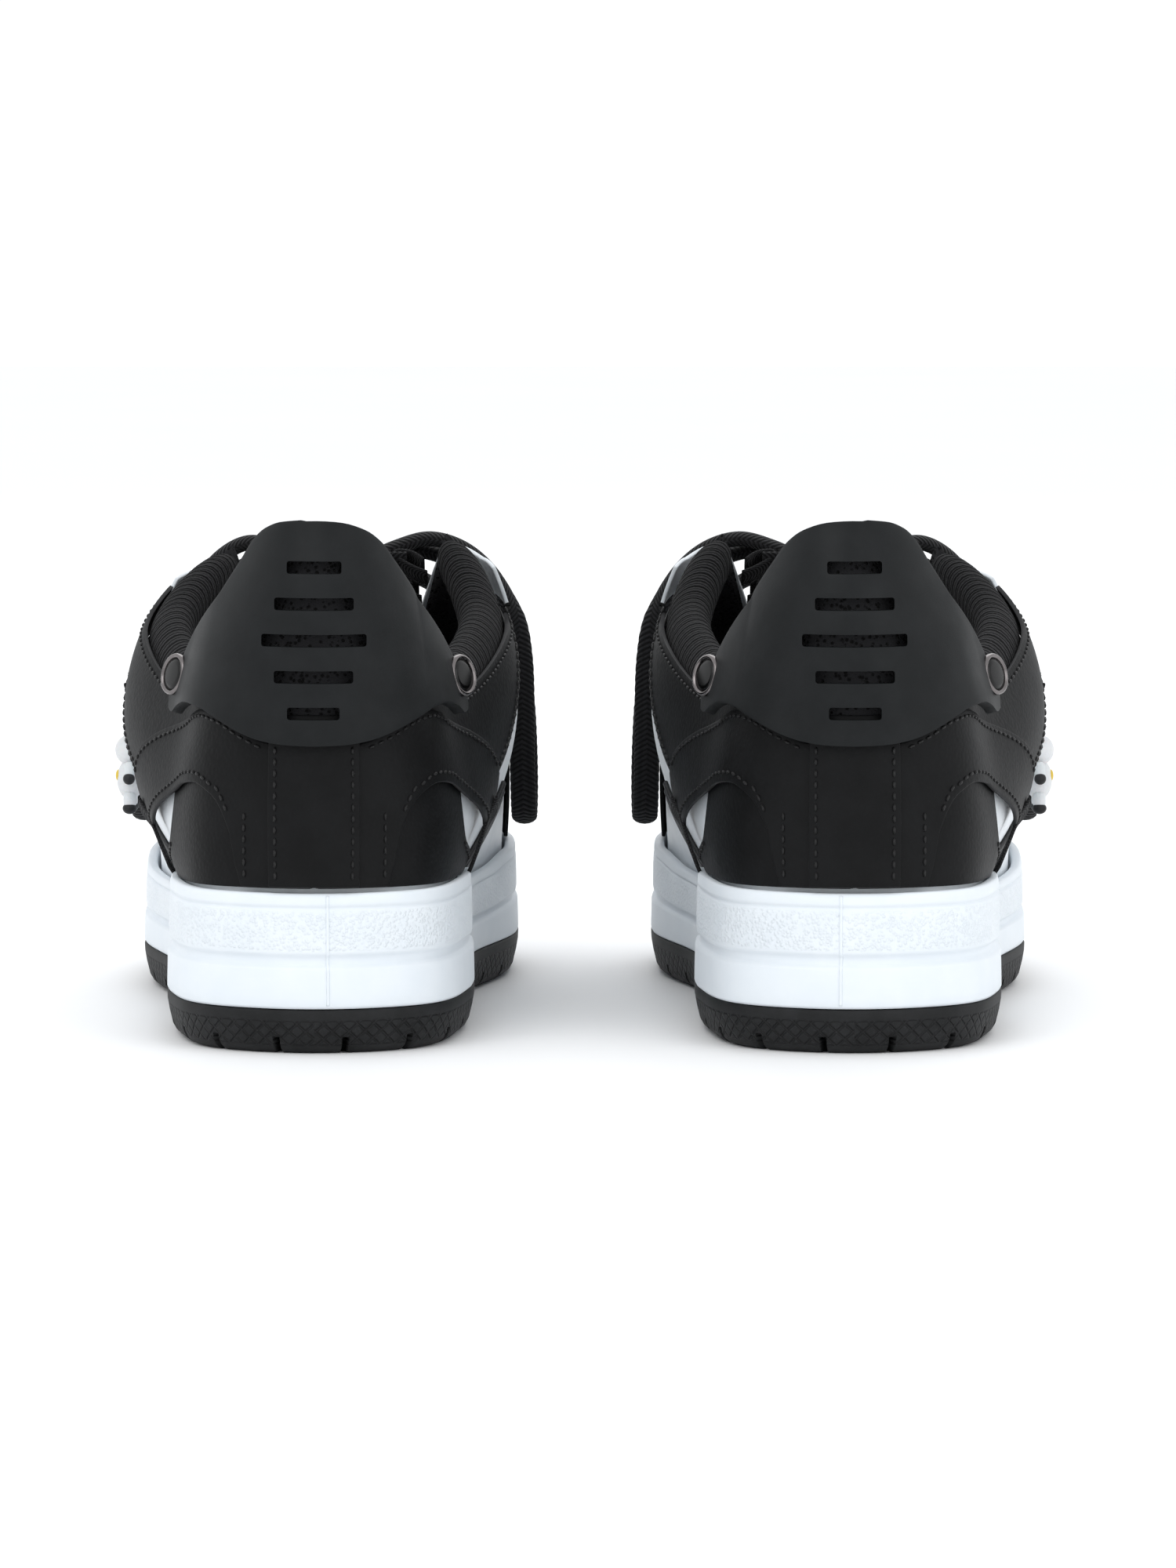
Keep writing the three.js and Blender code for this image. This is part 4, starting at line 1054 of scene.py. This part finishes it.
for side, hand in SIDES:
    t = station(side * RIVET_GIRTH)
    seat, out = on_last(t, share_at(t, RIVET_Z))
    facing = Vector(out + RIVET_LEAN * np.array((0, -1, 0)))
    turn = facing.to_track_quat("Z", "Y").to_matrix().to_4x4()
    on_guard = Matrix.Translation(Vector(placed(seat + out * GUARD_LAYER)))
    stand = on_guard @ turn @ Matrix.Translation((0, 0, -GUARD_LAYER * MM))
    top = GUARD_LAYER + 0.45
    ring = turned(f"left_rivet_{hand}_ring", [
        (0, FIRST_LAYER + 0.3), (2, FIRST_LAYER + 0.3), (2, top - 1.4), (4.8, top - 1.4),
        (5.5, top - 0.3), (RIVET_RADIUS, top + 0.2), (RIVET_RADIUS, top + 1.1), (5.6, top + 1.6),
        (5.2, top + 1.8), (4.9, top + 1.7), (4.75, top + 1.3), (0, top + 1.2),
    ], stand, rivet_ring_metal.material)
    on_both_shoes(ring, "shoe", "rivet_metal", f"rivet_{hand}")
    face = turned(f"left_rivet_{hand}_face", [
        (0, top + 0.9), (4.6, top + 0.9), (4.6, top + 1.35), (3, top + 1.6), (0, top + 1.7)
    ], stand, rivet_enamel.material)
    on_both_shoes(face, "shoe", "rivet_metal")

# ---- Collar ----
# A foam roll in ribbed knit runs round the ankle opening, and a knit tab backs the guard.
roll_width = through((0, 12.4), (120, 12.4), (160, 12.4), (185, 12), (204, 11))
ROLL_LENGTH = ROLL_REACH_LATERAL + ROLL_REACH_MEDIAL


def ribbed_knit():
    finish = Finish("ribbed_knit", Roughness=0.9, Sheen_Weight=0.04, Specular_IOR_Level=0.15)
    u, v, _ = finish.split(finish.uv)
    rows = u * (ROLL_LENGTH / 1.75)
    wales = v * 20
    stitch = (rows * tau).maths("SINE") * 0.5 + 0.5
    loops = ((wales + rows.maths("FLOOR") * 0.5) * tau).maths("SINE") * 0.5 + 0.5
    height = stitch * (0.55 + loops * 0.45) + finish.noise(2600, 2) * 0.15
    # The base colour follows the knit's relief: the dark tone is painted shade between the stitches, the pale
    # tone the yarn on the crests.
    dark, pale = (0.0008, 0.0008, 0.0009), (0.019, 0.019, 0.021)
    finish.drive("Base Color", finish.colours(height.clamped(0.1, 0.9), dark, pale))
    return finish.relief(height, 0.001, 1.0).material


def roll_place(u, v):
    girth = u * ROLL_LENGTH - ROLL_REACH_LATERAL
    t = station(girth)
    full = np.sqrt(np.maximum(0.04, 1 - np.abs(2 * u - 1) ** 40))
    rib = 1 + 0.012 * np.sin(girth / 3.0 * tau)
    girth = np.abs(girth)
    out = -GAP - roll_width(girth) / 2 * (1 - np.cos(tau * v) * full * rib)
    z = topline_z(t) - ROLL_HEIGHT / 2 * (1 - np.sin(tau * v) * full * rib)
    return on_last(t, share_at(t, z), out)[0]


collar_knit = ribbed_knit()
collar = grid_piece("left_collar_roll_knit", 700, 28, roll_place, collar_knit, closed=True, capped=True)
for collar_piece in on_both_shoes(collar, "shoe", "collar_knit", "collar_roll"):
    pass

TAB_REACH, TAB_FOOT = 30, 90
tab_top = through((0, 137), (12, 135), (17, 131), (22, 124), (27, 112), (TAB_REACH, 100))


def tab_place(u, v):
    girth = (2 * u - 1) * TAB_REACH
    t = station(girth)
    z = TAB_FOOT + (tab_top(np.abs(girth)) - TAB_FOOT) * v
    return on_last(t, share_at(t, z), SECOND_LAYER + 0.4)[0]


heel_tab = thickened(grid_piece("left_heel_tab_mesh", 60, 30, tab_place, lining_mesh), 1.4, 0.4)
on_both_shoes(heel_tab, "shoe", "mesh_lining")

# ---- Stitching ----
# Bonded thread, black on the black leather and white on the eyestay. Each stitch is a short
# grain that sinks into the leather at its ends.
STITCH_PITCH, THREAD_LIFT = 3.1, 0.12
thread = Finish("bonded_thread", Roughness=0.5, Specular_IOR_Level=0.35)
thread.tinted(900, (0.0012, 0.0012, 0.0013), (0.004, 0.004, 0.0045), detail=2)
thread.relief(thread.noise(5000, 2), 0.0001)


def sew(bm, lines):
    """Adds a grain for every stitch along each line; a line is its places and the
    normals under them, in millimetres."""
    for places, normals in lines:
        run = np.concatenate([[0], np.cumsum(np.linalg.norm(np.diff(places, axis=0), axis=1))])
        middles = np.arange(STITCH_PITCH / 2, run[-1], STITCH_PITCH)
        for middle in middles:
            ends = [
                np.array([np.interp(middle + shift, run, places[:, k]) for k in range(3)])
                for shift in (-0.5, 0.5)
            ]
            normal = [np.interp(middle, run, normals[:, k]) for k in range(3)]
            grain = frame_at((ends[0] + ends[1]) / 2, ends[1] - ends[0], normal)
            scale = Matrix.Diagonal((0.5 * MM, 1.2 * MM, 0.42 * MM, 1))
            bmesh.ops.create_icosphere(bm, subdivisions=1, radius=1, matrix=grain @ scale)


def seam(side, girths, height, layer):
    """A seam line on the last between two girths, at the heights that height gives."""
    girth = np.linspace(*girths, max(8, round(abs(girths[1] - girths[0]) * 1.2)))
    t = station(side * girth)
    return on_last(t, share_at(t, height(t, girth)), layer + THREAD_LIFT)


def up_seam(girth, heights, layer):
    """A seam line up the last at one girth."""
    z = np.linspace(*heights, 30)
    t = np.full(30, float(station(girth)))
    return on_last(t, share_at(t, z), layer + THREAD_LIFT)


def rear_seams(side):
    return [
        seam(side, (BACKSTAY_HALF + 2.5, 98), lambda t, girth: overlay_top(girth) - 1.8, SECOND_LAYER),
        seam(side, (29, 97), lambda t, girth: arch_edge(girth) + 2.6, SECOND_LAYER),
        seam(side, (23.5, 29), lambda t, girth: arch_edge(girth) + 3.6, SECOND_LAYER),
        up_seam(side * 18.3, (47, 66), SECOND_LAYER),
        seam(side, (108, 154), lambda t, girth: quarter_foot(girth) + 2.0, FIRST_LAYER),
        seam(side, (108, 154), lambda t, girth: quarter_foot(girth) + 3.7, FIRST_LAYER),
        seam(side, (64, 154), lambda t, girth: topline_z(t) - 11.2, FIRST_LAYER),
        seam(side, (64, 81), lambda t, girth: side_panel_top(girth) - 1.9, FIRST_LAYER),
        up_seam(side * (BACKSTAY_HALF - 1.9), (46.5, 90.5), THIRD_LAYER),
    ]


bm = bmesh.new()
for side in (LATERAL, MEDIAL):
    sew(bm, rear_seams(side))
cap_t = np.linspace(4.4 / 12, 7.7 / 12, 150)
sew(bm, [on_last(cap_t, np.full(150, share), FIRST_LAYER + THREAD_LIFT) for share in (0.355, 0.335)])
on_both_shoes(made(bm, "left_upper_stitching", thread.material), "shoe", "black_leather")

white_thread = Finish("white_thread", Roughness=0.6)
white_thread.tinted(900, (0.5, 0.53, 0.55), (0.68, 0.71, 0.73), detail=2)
bm = bmesh.new()
foot_t, stay_t = (np.linspace(3.8 / 12, 8.2 / 12, count) for count in (160, 170))
for gap in (0.016, 0.032):
    sew(bm, [on_last(foot_t, eyestay_foot(foot_t) + gap, SECOND_LAYER + THREAD_LIFT)])
sew(bm, [on_last(stay_t, eyestay_top(stay_t) - 0.02, SECOND_LAYER + THREAD_LIFT)])
on_both_shoes(made(bm, "left_eyestay_stitching", white_thread.material), "shoe", "white_leather")

# ---- Side webbing and piping ----
# On each side a flat woven strap runs from the tip of the heel overlay down to the front of
# the side panel, over the white window. Slanting cords are sewn to the waist in front of it.
STRAP_HEAD = 62


def laid_strap(name, t, z, lift, width, thickness, material, **section):
    """A strap that lies flat on the upper, its heights and its lift off the last given
    place by place."""
    line, normals = on_last(t, share_at(t, z), lift)
    across = np.cross(normals, np.gradient(line, axis=0))
    return strap(name, line, across, width, thickness, material, **section)


# The darker tone is painted shade in the weave's grooves, and the paler one is the yarn.
webbing = woven("side_webbing", ((0.004, 0.004, 0.0045), (0.020, 0.020, 0.022)), 30, 8, 1.3)
for side, hand in SIDES:
    share = np.linspace(0, 1, 46)
    t = station(side * (99.5 - 17 * share))
    z = STRAP_HEAD + (rim_z(t) + 1.5 - STRAP_HEAD) * share
    lift = SECOND_LAYER + 0.5 - 0.9 * smoothstep(share, 0.0, 0.25) + 0.15
    strip = laid_strap(
        f"left_side_webbing_{hand}", t, z, lift, 7.5, 1.1, webbing, sides=20, squareness=0.45
    )
    on_both_shoes(strip, "shoe", "webbing")

piping = Finish("waist_piping", Roughness=0.5)
piping.tinted(600, (0.005, 0.005, 0.006), (0.02, 0.02, 0.021))
piping.relief(piping.noise(2200, 2), 0.0002)
for side, hand in SIDES:
    for i in range(4):
        share = np.linspace(0, 1, 30)
        t = station(side * (112 + i * 9 + 22 * share))
        z = rim_z(t) + 2 + (STRAP_HEAD - i * 3 - rim_z(t)) * share ** 0.9
        cord = laid_strap(
            f"left_waist_piping_{hand}_{i + 1}", t, z, 0.7, 3.2, 1.6, piping.material, sides=12
        )
        on_both_shoes(cord, "shoe", "black_leather")

# ---- Tongue ----
# A padded mesh tongue with a smooth leather head, hinged where it is sewn to the vamp. It
# leans back when the laces are loosened.
TONGUE_FOOT, TONGUE_HEAD = np.array((1, 72.5, 66.0)), np.array((1, 2.9, 124.0))
TONGUE_THICKNESS = 7.0
tongue_along = unit(TONGUE_HEAD - TONGUE_FOOT)
tongue_face = np.cross(tongue_along, (1, 0, 0))
tongue_half = through((0, 17), (0.35, 22), (0.8, 23), (1, 19))


def on_tongue(share, x, out):
    """A place on the tongue: a share of its length, millimetres across and out."""
    across = x / tongue_half(share)
    crown = 3 * np.sin(pi * np.clip(share, 0, 1)) - 4 * across ** 2
    middle = TONGUE_FOOT + np.asarray(share)[..., None] * (TONGUE_HEAD - TONGUE_FOOT)
    middle[..., 0] += x
    return middle + tongue_face * np.asarray(crown + out)[..., None]


def tongue_place(start, end, swell):
    def place(u, v):
        share = start + (end - start) * u
        rounded = np.sqrt(np.clip(1 - np.abs(2 * u - 1) ** 8, 0.1, 1))
        c, s = np.cos(tau * v), np.sin(tau * v)
        across = np.sign(c) * np.abs(c) ** 0.55
        thick = np.sign(s) * np.abs(s) ** 0.8 * (TONGUE_THICKNESS + swell) / 2 * rounded
        return on_tongue(share, across * tongue_half(share), thick)

    return place


# The darker tone is painted shade in the mesh's holes.
tongue_mesh = spacer_mesh("tongue_mesh", 1.8, (0.003, 0.003, 0.003), (0.018, 0.018, 0.02))
tongue_leather = leather("tongue_leather", (0.006, 0.006, 0.0065), (0.012, 0.012, 0.013), 0.35)
tongue_pad = grid_piece(
    "left_tongue_pad_mesh", 90, 48, tongue_place(0, 0.8, 0.0), tongue_mesh, closed=True, capped=True
)
tongue_head = grid_piece(
    "left_tongue_head_leather", 40, 48, tongue_place(0.78, 1.0, 0.5), tongue_leather, closed=True, capped=True
)


CLOTH_VOXEL, CLOTH_PRESSURE, CLOTH_FRAMES = 2.2, 3, 15


def puffed(piece, cap):
    """Inflates a pad as cloth and keeps the result, with no point moved past the cap in
    millimetres."""
    name, material = piece.name, piece.data.materials[0]
    copy = piece.copy()
    copy.data = piece.data.copy()
    bpy.context.collection.objects.link(copy)
    remesh = copy.modifiers.new("remesh", "REMESH")
    remesh.mode = "VOXEL"
    remesh.voxel_size = CLOTH_VOXEL * MM
    settle(copy)
    before = np.array([v.co for v in copy.data.vertices])
    cloth = copy.modifiers.new("cloth", "CLOTH")
    cloth.settings.use_pressure = True
    cloth.settings.uniform_pressure_force = CLOTH_PRESSURE
    cloth.settings.effector_weights.gravity = 0
    for number in range(1, CLOTH_FRAMES + 1):
        bpy.context.scene.frame_set(number)
    settle(copy)
    bpy.context.scene.frame_set(1)
    after = np.array([v.co for v in copy.data.vertices])
    moved = after - before
    far = np.linalg.norm(moved, axis=1, keepdims=True)
    kept = before + moved * np.minimum(1, cap * MM / np.maximum(far, 1e-9))
    copy.data.vertices.foreach_set("co", kept.ravel())
    for face in copy.data.polygons:
        face.use_smooth = True
    bpy.data.objects.remove(piece)
    copy.name = name
    copy.data.materials.clear()
    copy.data.materials.append(material)
    return copy


tongue_pad = puffed(tongue_pad, 0.9)
for tongue_piece in (
    *on_both_shoes(tongue_pad, "tongue", "mesh_lining", "tongue"),
    *on_both_shoes(tongue_head, "tongue", "black_leather"),
):
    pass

# ---- Lace bars and knot ----
# The same fat lace goes straight across between the eyestays on top, round the side, and
# back up underneath. The bow's knot sits in front of the topmost bar.
BARS, FIRST_BAR, BAR_PITCH = 6, 0.12, 0.152
LACED_WIDTH, LACED_THICKNESS = 9.0, 3.0
UNDER_LACE, OVER_LACE = 5.9, 9.5
bar_reach = through((0, 10), (0.35, 14), (1, 22))
bar_stops = []
for i in range(BARS):
    share = FIRST_BAR + i * BAR_PITCH
    reach = float(bar_reach(share))
    bar_stops += [(share, x * reach, OVER_LACE) for x in (-1, -1 / 3, 1 / 3, 1)]
    if i < BARS - 1:
        bar_stops += [
            (share, reach + 2.2, (OVER_LACE + UNDER_LACE) / 2),
            (share + 0.1 * BAR_PITCH, reach, UNDER_LACE),
            (share + 0.9 * BAR_PITCH, -reach, UNDER_LACE),
            (share + BAR_PITCH, -reach - 2.2, (OVER_LACE + UNDER_LACE) / 2),
        ]
bar_points = [
    TONGUE_FOOT + share * (TONGUE_HEAD - TONGUE_FOOT) + (x, 0, 0)
    + tongue_face * (3 * sin(pi * share) + out)
    for share, x, out in bar_stops
]
bar_line, bar_length = route(bar_points, 620)
lace_weave = woven("laced_weave", LACE_BLACK_AND_GROOVE_SHADE, bar_length, LACED_WIDTH, 1.6)
bar_ripple = 1 + 0.02 * np.sin(np.linspace(0, bar_length / 1.6 * tau, 621))
laced = strap(
    "left_lace_bars", bar_line, tongue_along, LACED_WIDTH * bar_ripple, LACED_THICKNESS, lace_weave, sides=18
)
on_both_shoes(laced, "shoe", "lace_textile", "lace")

KNOT_PLACE = np.array((1, 24.5, 122.5))


def knot_line(radii, turns, tilt, lift):
    angle = np.linspace(0, turns * tau, 120)
    x = np.cos(angle) * radii[0]
    y = np.sin(angle) * radii[1] * cos(tilt)
    z = np.sin(angle) * radii[1] * sin(tilt) + np.cos(2 * angle) * lift
    return KNOT_PLACE + np.column_stack([x, y, z])


for number, (radii, turns, tilt, lift) in enumerate(
    (((3.6, 3.2), 1.0, 1.35, 0.3), ((4.6, 2.9), 1.0, 0.25, 0.5), ((2.4, 3.4), 1.0, 0.9, -0.4))
):
    line = knot_line(radii, turns, tilt, lift)
    spread = (0, 0.7, 0.7) if number else (1, 0, 0)
    wrap = strap(
        f"left_bow_knot_wrap_{number + 1}", line, spread, 6.0, 3.2, lace_weave, sides=14
    )
    on_both_shoes(wrap, "shoe", "lace_textile")

# ---- Webbing lace loops ----
# Short loops of flat webbing come out from under the eyestay and hold the lace at the end of
# each bar. They are sewn down under the eyestay's edge.
# The darker tone is painted shade in the weave's grooves, and the paler one is the yarn.
loop_webbing = woven("loop_webbing", ((0.005, 0.005, 0.0055), (0.024, 0.024, 0.026)), 26, 7, 1.2)
for side, hand in SIDES:
    for i in range(BARS):
        share = FIRST_BAR + i * BAR_PITCH
        reach = float(bar_reach(share))
        middle = TONGUE_FOOT + share * (TONGUE_HEAD - TONGUE_FOOT) + tongue_face * 3 * sin(pi * share)
        rows = [(6.5, 8.8), (3.0, 11.4), (-1.5, 11.9), (-2.2, 10.5), (0.5, 8.2), (4.5, 5.6), (7.5, 4.2)]
        points = [middle + (side * (reach + x - 1.5), 0, 0) + tongue_face * (out - 0.4) for x, out in rows]
        line, _ = route(points, 36)
        holder = strap(
            f"left_lace_loop_webbing_{hand}_{i + 1}", line, tongue_along, 6.6, 0.9, loop_webbing,
            sides=14, squareness=0.5,
        )
        on_both_shoes(holder, "shoe", "webbing")

# ---- Charm ----
# A webbing tab sewn to the outer side holds a split ring, and a small moulded figure with
# dark tips hangs from the ring. The ring swings out, and the figure sways on it.
CHARM_PLACE = np.array((-57.845, 11.805, 90))
RING_RADIUS, RING_WIRE = 6.0, 0.8
ring_steel = Finish("ring_steel", Metallic=1.0)
ring_steel.drive("Roughness", 0.14 + ring_steel.noise(500, 3) * 0.14)
ring_steel.tinted(300, (0.42, 0.42, 0.43), (0.58, 0.58, 0.59))


def wire_ring(name, middle, radius, wire, across, up, material, turns=1.0, rise=0.0):
    """A ring of round wire; more than one turn makes it a split ring."""
    angle = np.linspace(0, turns * tau, round(72 * turns) + 1)
    across, up = np.array(across, float), np.array(up, float)
    line = middle + np.outer(np.cos(angle), across) * radius + np.outer(np.sin(angle), up) * radius
    line += np.outer(rise * (angle / (turns * tau) - 0.5), np.cross(across, up))
    return strap(name, line, np.cross(across, up), 2 * wire, 2 * wire, material, sides=12)


FOLD_RADIUS = 2.6
fold_angles = np.linspace(-pi, pi * 0.72, 30)[::-1]
fold_line = np.array([CHARM_PLACE + (FOLD_RADIUS * cos(a), 0, FOLD_RADIUS * sin(a)) for a in fold_angles])
# The darker tone is painted shade in the weave's grooves, and the paler one is the yarn.
tab_weave = woven("charm_tab_weave", ((0.005, 0.005, 0.0055), (0.024, 0.024, 0.026)), 24, 6, 1.1)
fold = strap("left_charm_tab_fold", fold_line, (0, 1, 0), 6.0, 1.1, tab_weave, sides=14, squareness=0.5)
plate_foot = CHARM_PLACE + (FOLD_RADIUS, 0, 0)
plate_line = np.linspace(plate_foot, plate_foot + (2.4, 0, 12), 24)
plate = strap("left_charm_tab_strap", plate_line, (0, 1, 0), 6.0, 1.2, tab_weave, sides=14, squareness=0.5)
on_both_shoes(fold, "shoe", "webbing", "charm_tab")
on_both_shoes(plate, "shoe", "webbing")

split_ring = wire_ring(
    "left_charm_split_ring", CHARM_PLACE - (0, 0, RING_RADIUS), RING_RADIUS, RING_WIRE * 0.55, (0, 1, 0),
    (0, 0, 1), ring_steel.material, turns=1.92, rise=0.9,
)
on_both_shoes(split_ring, "charm_ring", "ring_metal", "charm_ring")


white_vinyl = Finish("charm_vinyl", Roughness=0.4, Subsurface_Weight=0.05)
white_vinyl.tinted(160, (0.60, 0.61, 0.62), (0.74, 0.75, 0.76), detail=4)
soft_vinyl = white_vinyl.relief(white_vinyl.noise(900, 3), 0.0002).material
dark_vinyl = moulded_rubber("charm_dark_vinyl", (0.010, 0.010, 0.011), (0.02, 0.02, 0.022), 0.4).material
yellow_vinyl = moulded_rubber("charm_yellow_vinyl", (0.62, 0.42, 0.03), (0.72, 0.52, 0.06), 0.4).material
BODY = CHARM_PLACE - (1.4, 0, 0)


def limb(name, start, end, radius, material):
    """A capsule limb with rounded ends."""
    share = np.linspace(0, 1, 25)
    line = np.linspace(start, end, 25)
    girth = radius * np.sqrt(np.clip(1 - np.abs(2 * share - 1) ** 5, 0.02, 1))
    return strap(name, line, (0, 1, 0), 2 * girth, 2 * girth, material, sides=18)


def ball(name, middle, radii, material):
    bm = bmesh.new()
    bmesh.ops.create_icosphere(bm, subdivisions=4, radius=1)
    bmesh.ops.transform(bm, matrix=Matrix.Diagonal((*(r * MM for r in radii), 1)), verts=bm.verts)
    bmesh.ops.translate(bm, vec=Vector(placed(middle)), verts=bm.verts)
    return made(bm, name, material)


charm_eye = wire_ring(
    "left_charm_eyelet", CHARM_PLACE * (1, 1, 0) + (0, 0, 76.9), 2.8, 0.6, (1, 0, 0), (0, 0, 1),
    ring_steel.material,
)
charm_head = ball("left_charm_head", (*BODY[:2], 70.5), (4.4, 4.7, 4.5), soft_vinyl)
charm_body = ball("left_charm_body", (*BODY[:2], 61.9), (3.9, 5.1, 6.1), soft_vinyl)
charm_pieces = [charm_head, charm_body, charm_eye]
for side, word in ((-1, "front"), (1, "back")):
    ear = ball(f"left_charm_ear_{word}", (BODY[0], BODY[1] + side * 3.4, 73.9), (1.3, 1.5, 1.7), dark_vinyl)
    arm_top = np.array((BODY[0], BODY[1] + side * 4.4, 67.2))
    arm_end = arm_top + (0, side * 2.6, -4.6)
    arm = limb(f"left_charm_arm_{word}", arm_top, arm_end, 1.6, soft_vinyl)
    hand_ball = ball(f"left_charm_hand_{word}", arm_end, (1.75, 1.75, 1.75), dark_vinyl)
    leg_top = np.array((BODY[0], BODY[1] + side * 2.6, 58.5))
    leg_end = leg_top + (0, side * 1.5, -4.8)
    leg = limb(f"left_charm_leg_{word}", leg_top, leg_end, 1.9, soft_vinyl)
    foot_ball = ball(f"left_charm_foot_{word}", leg_end, (2.1, 2.0, 1.7), dark_vinyl)
    charm_pieces += [ear, arm, hand_ball, leg, foot_ball]
charm_badge = ball("left_charm_badge", (BODY[0] - 3.4, BODY[1], 63), (0.9, 2.2, 1.8), yellow_vinyl)
charm_pieces.append(charm_badge)
for i, charm_piece in enumerate(charm_pieces):
    on_both_shoes(charm_piece, "charm_figure", "charm_plastic", *(("charm_figure",) if i == 1 else ()))
